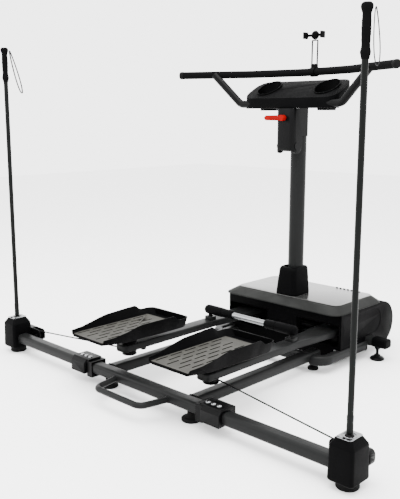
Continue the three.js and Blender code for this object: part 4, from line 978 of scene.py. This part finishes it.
class SKI_OT_grips(Piece, bpy.types.Operator):
    """Pole grips: a smooth turned profile, r(z) through named rings, with finger ridges along its middle"""

    bl_idname = "ski.grips"
    bl_label = "Grips"

    def build(self, scene):
        for side in SIDES:
            node = side + "_pole_grip"
            low, high, _, (head, _, _) = box(node)
            x, y = middle(side + "_pole_ball")[:2]
            shares = [0.0, 0.015, 0.05, 0.1, 0.14, 0.2, 0.25, 0.4, 0.55, 0.72, 0.8, 0.86, 0.9, 0.95, 0.985, 1.0]
            radii = [0.0098, 0.0108, 0.0112, 0.0134, 0.0136, 0.0114, 0.0108, 0.0117, 0.0122, 0.0116, 0.011]
            radii += [0.0135, head, head, head - 0.002, head - 0.007]
            z = np.linspace(0.0, 1.0, 121)
            radius = np.convolve(np.pad(np.interp(z, shares, radii), 2, mode="edge"), np.ones(5) / 5, mode="valid")
            ridged = np.clip((z - 0.26) / 0.04, 0, 1) * np.clip((0.8 - z) / 0.04, 0, 1)
            radius += scene.ski_poles.ridge * ridged * np.cos(2 * math.pi * z * 9)
            side_line = np.stack([np.minimum(radius, head), low[2] + (high[2] - low[2]) * z], axis=-1)
            crown = [(side_line[-1, 0] * 0.6, high[2]), (0.0, high[2])]
            profile = np.concatenate([[(0.009, low[2])], side_line, crown])
            give(turned(node + "_foam", profile, (x, y, 0.0), 36), node, "Grip foam")


class SKI_OT_straps(Piece, bpy.types.Operator):
    """Wrist straps: webbing carried round a teardrop, whose half width grows as sin of the way round"""

    bl_idname = "ski.straps"
    bl_label = "Straps"

    def build(self, scene):
        size = scene.ski_poles
        half = size.strap_width / 2 + 0.0022
        section = box_section(size.strap_thickness, size.strap_width, 0.0007, 2)
        way = np.linspace(0.0, 2.0 * math.pi, 97)
        fall = (1 - np.cos(way)) / 2
        spread = half * np.sin(way) * (0.45 + 0.55 * fall)
        for side, drop, reach, degrees in (("left", 0.168, 0.064, 44.0), ("right", 0.138, 0.03, 34.0)):
            node = side + "_wrist_strap"
            cos, sin = math.cos(math.radians(degrees)), math.sin(math.radians(degrees))
            outward, across = np.array([cos, sin, 0.0]), np.array([-sin, cos, 0.0])
            _, grip_high, _, grip_half = box(side + "_pole_grip")
            start, end = np.array([grip_half[0] + half * 0.55, 0.0]), np.array([reach, -drop])
            along = unit(end - start)
            square = np.array([-along[1], along[0]])
            flat = start + (end - start) * fall[:, None] + square * spread[:, None]
            hung = np.array(UP) * (flat[:, 1:] + grip_high[2] - 0.012)
            path = middle(side + "_pole_ball") * (1, 1, 0) + outward * flat[:, :1] + hung
            run = np.concatenate([[0.0], np.cumsum(np.linalg.norm(np.diff(flat, axis=0), axis=1))])
            maps = np.stack(np.meshgrid(run, section[:, 1] / size.strap_width + 0.5, indexing="ij"), axis=-1)
            rings = carried(path, section, across)
            rings[-1] = rings[0]
            give(skinned(node + "_band", rings, maps), node, "Strap webbing")


# Foot arms, tie rod and pedals


class SKI_OT_arms(Piece, bpy.types.Operator):
    """Foot arms: a flared outline with a round tail given a thickness, and the turned fittings on it"""

    bl_idname = "ski.arms"
    bl_label = "Foot arms"

    def build(self, scene):
        size = scene.ski_pedals
        rim, neck, sole = 0.0285, 0.012, 0.1225
        stub = [(0, 0.105), (0.0265, 0.105), (rim, 0.107), (rim, 0.109), (0.02, 0.1105), (0.02, 0.1162)]
        stub += [(rim, 0.1176), (rim, sole), (neck, sole), (neck, 0.176), (0, 0.176)]
        bush = [(0, 0.112), (0.0255, 0.112), (0.027, 0.1135), (0.027, 0.1585), (0.0255, 0.16), (0, 0.16)]
        pin = [(0, 0.163), (neck, 0.163), (0.0085, 0.168), (0.0085, 0.19), (0, 0.19)]
        knob = [(0, 0.1065), (0.009, 0.1065), (0.0115, 0.109), (0.0115, sole), (0, sole)]
        tail = (0.0, ARM_PIVOT_Y) + arc(size.tail, 0.0, math.pi, 25)
        right = [(size.arm_half, 0.06), (size.arm_half, 0.56), (size.flare_half, 0.775)] + np.array([0.0, AXIS_Y])
        outline = rounded_loops(np.concatenate([right, tail, right[::-1] * (-1, 1)]), 0.02, 5)
        for side in SIDES:
            node = side + "_arm"
            x = middle(side + "_tread")[0]
            give(slab(node + "_beam", outline + (x, 0.0), 0.122, 0.15, 0.006, steps=5), node, "Frame paint")
            boss = turned(side + "_arm_stub", stub, (x, STUB_Y, 0.0), 40, 0.0008)
            extra(boss, node, "Black steel")
            extra(turned(side + "_arm_bush", bush, (x, ARM_PIVOT_Y, 0.0), 36), node, "Frame paint")
            cheek = box_section(0.04, 0.034, 0.006) + (x, TIE_Y)
            extra(slab(side + "_tie_bracket", cheek, 0.1485, 0.164, 0.002), node, "Frame paint")
            tie_pin = turned(side + "_tie_pin", pin, (x, TIE_Y, 0.0), 24, 0.0015)
            extra(tie_pin, node, "Black steel")
        stop = turned("left_arm_stop", knob, (middle("left_tread")[0], AXIS_Y + 0.178, 0.0), 24, 0.002)
        extra(stop, "left_arm", "Foot rubber")


class SKI_OT_tie_rod(Piece, bpy.types.Operator):
    """Tie rod: a bright turned rod, and black sleeves that narrow towards it"""

    bl_idname = "ski.tie_rod"
    bl_label = "Tie rod"

    def build(self, scene):
        rod, wide = scene.ski_pedals.rod, scene.ski_pedals.sleeve
        node = "tie_rod"
        low, high, (_, y, z), _ = box(node)
        bar = [(0, low[0]), (rod, low[0]), (rod, high[0]), (0, high[0])]
        give(turned(node + "_bar", bar, (0.0, y, z), 32, 0.001, "x"), node, "Bright steel")
        for side, sign in SIDES.items():
            node = side + "_tie_sleeve"
            inner, outer = sorted(abs(corner[0]) for corner in box(node)[:2])
            steps = [(0.84, 0.0), (0.9, 0.004), (0.93, 0.052), (0.87, 0.0535), (0.87, 0.0555), (0.97, 0.057)]
            profile = [(0.0125, inner)] + [(wide * share, inner + way) for share, way in steps]
            profile += [(wide, outer - 0.06), (wide, outer - 0.02)]
            dome = arc(wide, 0.0, math.pi / 2, 10)[1:] + (0.0, outer - wide)
            profile = rounded_profile(np.concatenate([profile, dome]), 0.0012, 3) * (1.0, sign)
            give(turned(node + "_body", profile, (0.0, y, z), 36, axis="x"), node, "Black plastic")


class SKI_OT_pedals(Piece, bpy.types.Operator):
    """Pedals: closed sections skinned from heel to toe; wall height and width follow the way along, and the floor
    rises to the rim at the toe"""

    bl_idname = "ski.pedals"
    bl_label = "Pedals"

    def build(self, scene):
        size = scene.ski_pedals
        for side in SIDES:
            node = side + "_pedal"
            low, high, (centre, _, _), _ = box(node)
            total, taper, keel_y = high[1] - low[1], 0.034, AXIS_Y + 0.112
            straight, toe = total - taper, total - size.wall
            end = arc(1.0, 0.0, math.pi / 2, 14)[1:, 1]
            way = np.concatenate([np.linspace(0.0, straight, 70), straight + (taper - size.wall - 0.0002) * end])
            way = np.concatenate([way, [toe, toe + 0.0004, total - 0.0012, total - 0.0003, total]])
            places = [0.0, 0.05, 0.104, 0.15, 0.172, 0.25, 0.325, 0.347, 0.36, 0.414]
            tops = [0.222, 0.2245, 0.2335, 0.2435, 0.2468, 0.2485, 0.25, 0.2325, 0.23, 0.23]
            fine = np.linspace(-0.02, total + 0.02, 455)
            smooth = np.convolve(np.interp(fine, places, tops), np.ones(9) / 9, mode="same")
            top = np.interp(way, fine, smooth)
            corner = np.clip((way - straight) / taper, 0.0, 1.0)
            closing = 1 - np.sqrt(np.maximum(1 - corner**2, 0.0))
            half = np.interp(way, [0.0, 0.104, 0.168, 0.288], [0.098, 0.1065, 0.1065, 0.115]) - 0.027 * closing
            bottom = np.interp(way, [0.0, 0.104], [0.2, 0.189]) + 0.002 * corner
            floor = np.where(way > toe + 0.0002, top, 0.206)
            rim = top - np.where(way > total - 0.001, 0.001, 0.0)
            pairs = [(half * 0.86, bottom), (half, rim), (half - size.wall, rim), (0.0953 - 0.026 * closing, floor)]
            right = np.stack([np.stack(pair, axis=-1) for pair in [*pairs, (0 * way, floor)]], axis=1)
            loops = rounded_loops(np.concatenate([right, right[:, -2::-1] * (-1, 1)], axis=1), size.lip * 1.6)
            y = np.broadcast_to((low[1] + way)[:, None], loops.shape[:2])
            rings = np.stack([centre + loops[..., 0], y, loops[..., 1]], axis=-1)
            give(skinned(node + "_shell", rings), node, "Black plastic")
            levels = [
                (0.062, 0.134, 0.03, 0.1915, centre, AXIS_Y + 0.116),
                (0.058, 0.122, 0.028, 0.187, centre, keel_y),
                (0.037, 0.054, 0.018, 0.168, centre, keel_y),
                (0.034, 0.048, 0.016, 0.166, centre, keel_y),
            ]
            extra(skinned(side + "_pedal_keel", level_rings(levels)), node, "Black plastic")
            cup = [(0, low[2]), (0.0265, low[2]), (0.0285, low[2] + 0.002), (0.0285, 0.172), (0, 0.172)]
            boss = turned(side + "_pedal_boss", cup, (centre, STUB_Y, 0.0), 40, 0.001)
            extra(boss, node, "Black plastic")


class SKI_OT_treads(Piece, bpy.types.Operator):
    """Treads: slotted plates with softened edges"""

    bl_idname = "ski.treads"
    bl_label = "Treads"

    def build(self, scene):
        for side in SIDES:
            softened(side + "_tread", "Tread rubber", 0.0005)


# Housing


class SKI_OT_housing(Piece, bpy.types.Operator):
    """Housing body with rounded edges, a dark underside at the rear, and a trim bead round each front opening"""

    bl_idname = "ski.housing"
    bl_label = "Housing"

    def build(self, scene):
        node = "housing_body"
        softened(node, "Black plastic", 0.002, 3)
        softened("base_plate", "Black steel", 0.001)
        deck, thickness = 0.0505, 0.002
        loop = box_section(0.59, 0.128, 0.004, 3) + (0.0, AXIS_Y + 1.0755)
        extra(slab("housing_underside", loop, deck, deck + thickness, 0.0005), node, "Black plastic")
        inner, outer, sill, lintel = 0.077, 0.292, 0.084, 0.178
        opening = box_section(outer - inner, lintel - sill, 0.006) + ((inner + outer) / 2, (sill + lintel) / 2)
        u, v = opening.T
        for side, sign in SIDES.items():
            path = np.stack([sign * u, np.full_like(u, HOUSING_FRONT_Y), v], axis=-1)
            bead = loop_tube(side + "_opening_trim", path, scene.ski_housing.bezel, ALONG_Y)
            extra(bead, node, "Black plastic")


class SKI_OT_cover(Piece, bpy.types.Operator):
    """Cover: rounded rectangles skinned up the skirt and the bevel, whose front goes in further than its sides"""

    bl_idname = "ski.cover"
    bl_label = "Cover"

    def build(self, scene):
        size = scene.ski_housing
        node = "housing_cover"
        low, high = box(node)[:2]
        bevel, bevel_front, bevel_rear, corner = 0.03, 0.046, 0.02, 0.046
        start, top = low[2], high[2]
        profile = [(0.004, start), (0.0, start + 0.001), (0.0, start + 0.006), (bevel, top), (bevel + 0.02, top)]
        levels = []
        for d, z in rounded_profile(profile, size.bevel_edge, 6):
            front, rear = low[1] + bevel_front * d / bevel, high[1] - bevel_rear * d / bevel
            levels.append((high[0] - d, (rear - front) / 2, corner, z, 0.0, (front + rear) / 2))
        give(skinned(node + "_shell", level_rings(levels, 10)), node, "Cover plastic")
        node = "top_panel"
        low, high, (x, y, _), half = box(node)
        loop = box_section(2 * half[0], 2 * half[1], 0.034, 10) + (x, y)
        panel = slab(node + "_plate", loop, low[2] - 0.0004, high[2], size.panel_edge)
        give(panel, node, "Top panel")
        corners = np.array([(-1, -1), (1, -1), (1, 1), (-1, 1)]) * (size.vent_length / 2, 0.0012)
        slot = rounded_loops(corners, 0.001)
        first, margin = 0.085, 0.03
        out = first + size.vent_pitch * np.arange(int((high[0] - margin - first) / size.vent_pitch))
        rings = np.stack([level(slot, z) for z in (-0.0004, 0.0025)])
        vents = many("vent_slots", rings, [(place, high[1] - 0.0065, high[2]) for place in out])
        extra(vents, node, "Black plastic")


class SKI_OT_post(Piece, bpy.types.Operator):
    """Post: a turned tube, and the boot: rounded rectangles leaning in, whose top dips as 1 - (x / half) squared"""

    bl_idname = "ski.post"
    bl_label = "Post and boot"

    def build(self, scene):
        size = scene.ski_housing
        node = "post"
        low, high, (x, y, _), (flange, _, _) = box(node)
        start, end = low[2], high[2]
        profile = [(0, start), (flange, start), (flange, start + 0.006), (size.post, start + 0.0062)]
        profile += [(size.post, 0.26), (size.post, 0.6), (size.post, end), (0, end)]
        give(turned(node + "_tube", profile, (x, y, 0.0), 56), node, "Frame paint")
        node = "post_boot"
        low, high = box(node)[:2]
        half, start, end = high[0], low[2] - 0.0002, high[2]
        profile = [(0.001, start), (0.0, start + 0.004), (0.0075, end - 0.016), (0.0115, end - 0.004), (0.0165, end)]
        profile += [(0.0205, end - 0.001), (0.0215, end - 0.012)]
        levels = []
        for d, z in rounded_profile(profile, 0.006, 6):
            front, rear = low[1] + d * 1.5, high[1] - d / 2
            levels.append((half - d, (rear - front) / 2, max(0.02 - d * 0.2, 0.012), z, 0.0, (front + rear) / 2))
        rings = level_rings(levels, 8)
        brow = 0.022
        share = np.clip((rings[..., 2] - (end - brow)) / brow, 0.0, 1.0)
        rings[..., 2] -= size.dip * share * (1 - (rings[..., 0] / half) ** 2)
        give(skinned(node + "_shell", rings), node, "Black plastic")


# Console


class SKI_OT_neck(Piece, bpy.types.Operator):
    """Neck mount, channel and lock lever with rounded edges"""

    bl_idname = "ski.neck"
    bl_label = "Neck"

    def build(self, scene):
        softened("neck_mount", "Black steel", 0.0014)
        softened("neck_channel", "Black steel", scene.ski_console.edge, 3)
        softened("lock_lever", "Lever red", 0.0016, 3)


class SKI_OT_tray(Piece, bpy.types.Operator):
    """Tray with rounded edges and a raised bead round each cup, which lies in the tray's slope"""

    bl_idname = "ski.tray"
    bl_label = "Tray"

    def build(self, scene):
        size = scene.ski_console
        softened("tray", "Black plastic", size.edge, 3)
        u, v = circle(0.0515, 56).T
        high = box("tray")[1]
        front, front_z, proud = AXIS_Y + 0.773, 1.0758, 0.003
        y = AXIS_Y + 0.848 + v
        z = front_z + proud + (y - front) * (high[2] - front_z) / (high[1] - front)
        for side, sign in SIDES.items():
            path = np.stack([sign * 0.146 + u, y, z], axis=-1)
            rim = loop_tube(side + "_cup_rim", path, size.cup_rim, (0.0, -0.48, 0.88), 12)
            extra(rim, "tray", "Black plastic")


class SKI_OT_handlebar(Piece, bpy.types.Operator):
    """Handlebar: a round section carried along its bow, with turned end caps, and its bent support tube"""

    bl_idname = "ski.handlebar"
    bl_label = "Handlebar"

    def build(self, scene):
        size = scene.ski_console
        node = "handlebar"
        z = middle(node)[2]
        section, wide = circle(size.bar, 32), size.bar + size.cap_lip
        half = np.array([(0.0, 0.893), (0.253, 0.846), (0.4, 0.764), (0.532, 0.7)]) + (0.0, AXIS_Y)
        corners = level(np.concatenate([(half[1:] * (-1, 1))[::-1], half]), z)
        give(tube(node + "_sleeve", bent(corners, size.bar_bend, 14), section), node, "Grip foam")
        cap = [(0.001, -0.012), (wide, -0.012), (wide, 0.0), (wide * 0.93, 0.004), (wide * 0.6, 0.0068)]
        radius, reach = np.hsplit(rounded_profile([*cap, (0.001, 0.007)], 0.0015), 2)
        u, v = (radius * share for share in circle(1.0, 32).T)
        for side, sign in SIDES.items():
            before, tip = half[2:] * (sign, 1)
            along_x, along_y = unit(tip - before)
            x, y = tip[0] + reach * along_x, tip[1] + reach * along_y
            rings = np.stack([x - u * along_y, y + u * along_x, z + v], axis=-1)
            extra(skinned(side + "_bar_cap", rings), node, "Foot rubber")
        node = "handlebar_support"
        end, turn = np.array([(0.388, AXIS_Y + 0.765, z), (0.255, AXIS_Y + 0.79, 1.053)])
        mirror = (-1, 1, 1)
        path = bent([end * mirror, turn * mirror, turn, end], size.support_bend)
        give(tube(node + "_tube", path, section, ALONG_Y), node, "Black steel")


class SKI_OT_phone_holder(Piece, bpy.types.Operator):
    """Phone holder's stand, hub and jaw with rounded edges"""

    bl_idname = "ski.phone_holder"
    bl_label = "Phone holder"

    def build(self, scene):
        for node in ("phone_stand", "phone_hub", "phone_jaw"):
            softened(node, "Black plastic", 0.0012, 3)


OPERATORS = Piece.__subclasses__()


class SKI_PT_panel(bpy.types.Panel):
    """Lists every piece of the simulator."""

    bl_idname = "SKI_PT_panel"
    bl_label = "Ski simulator"
    bl_space_type = "VIEW_3D"
    bl_region_type = "UI"
    bl_category = "Ski Simulator"

    def draw(self, context):
        column = self.layout.column(align=True)
        for operator in OPERATORS:
            column.operator(operator.bl_idname)
        for key, group in GROUPS.items():
            part = self.layout.box().column()
            part.label(text=key.split("_")[1].capitalize())
            for name in group.__annotations__:
                part.prop(getattr(context.scene, key), name)


def register():
    """Registers the settings, the operators and the panel."""
    for key, group in GROUPS.items():
        bpy.utils.register_class(group)
        setattr(bpy.types.Scene, key, bpy.props.PointerProperty(type=group))
    for operator in OPERATORS:
        bpy.utils.register_class(operator)
    bpy.utils.register_class(SKI_PT_panel)


def unregister():
    """Takes them all away again."""
    bpy.utils.unregister_class(SKI_PT_panel)
    for operator in reversed(OPERATORS):
        bpy.utils.unregister_class(operator)
    for key, group in GROUPS.items():
        delattr(bpy.types.Scene, key)
        bpy.utils.unregister_class(group)


def main():
    """Builds every piece in order."""
    register()
    for operator in OPERATORS:
        group, name = operator.bl_idname.split(".")
        getattr(getattr(bpy.ops, group), name)()


if __name__ == "__main__":
    main()
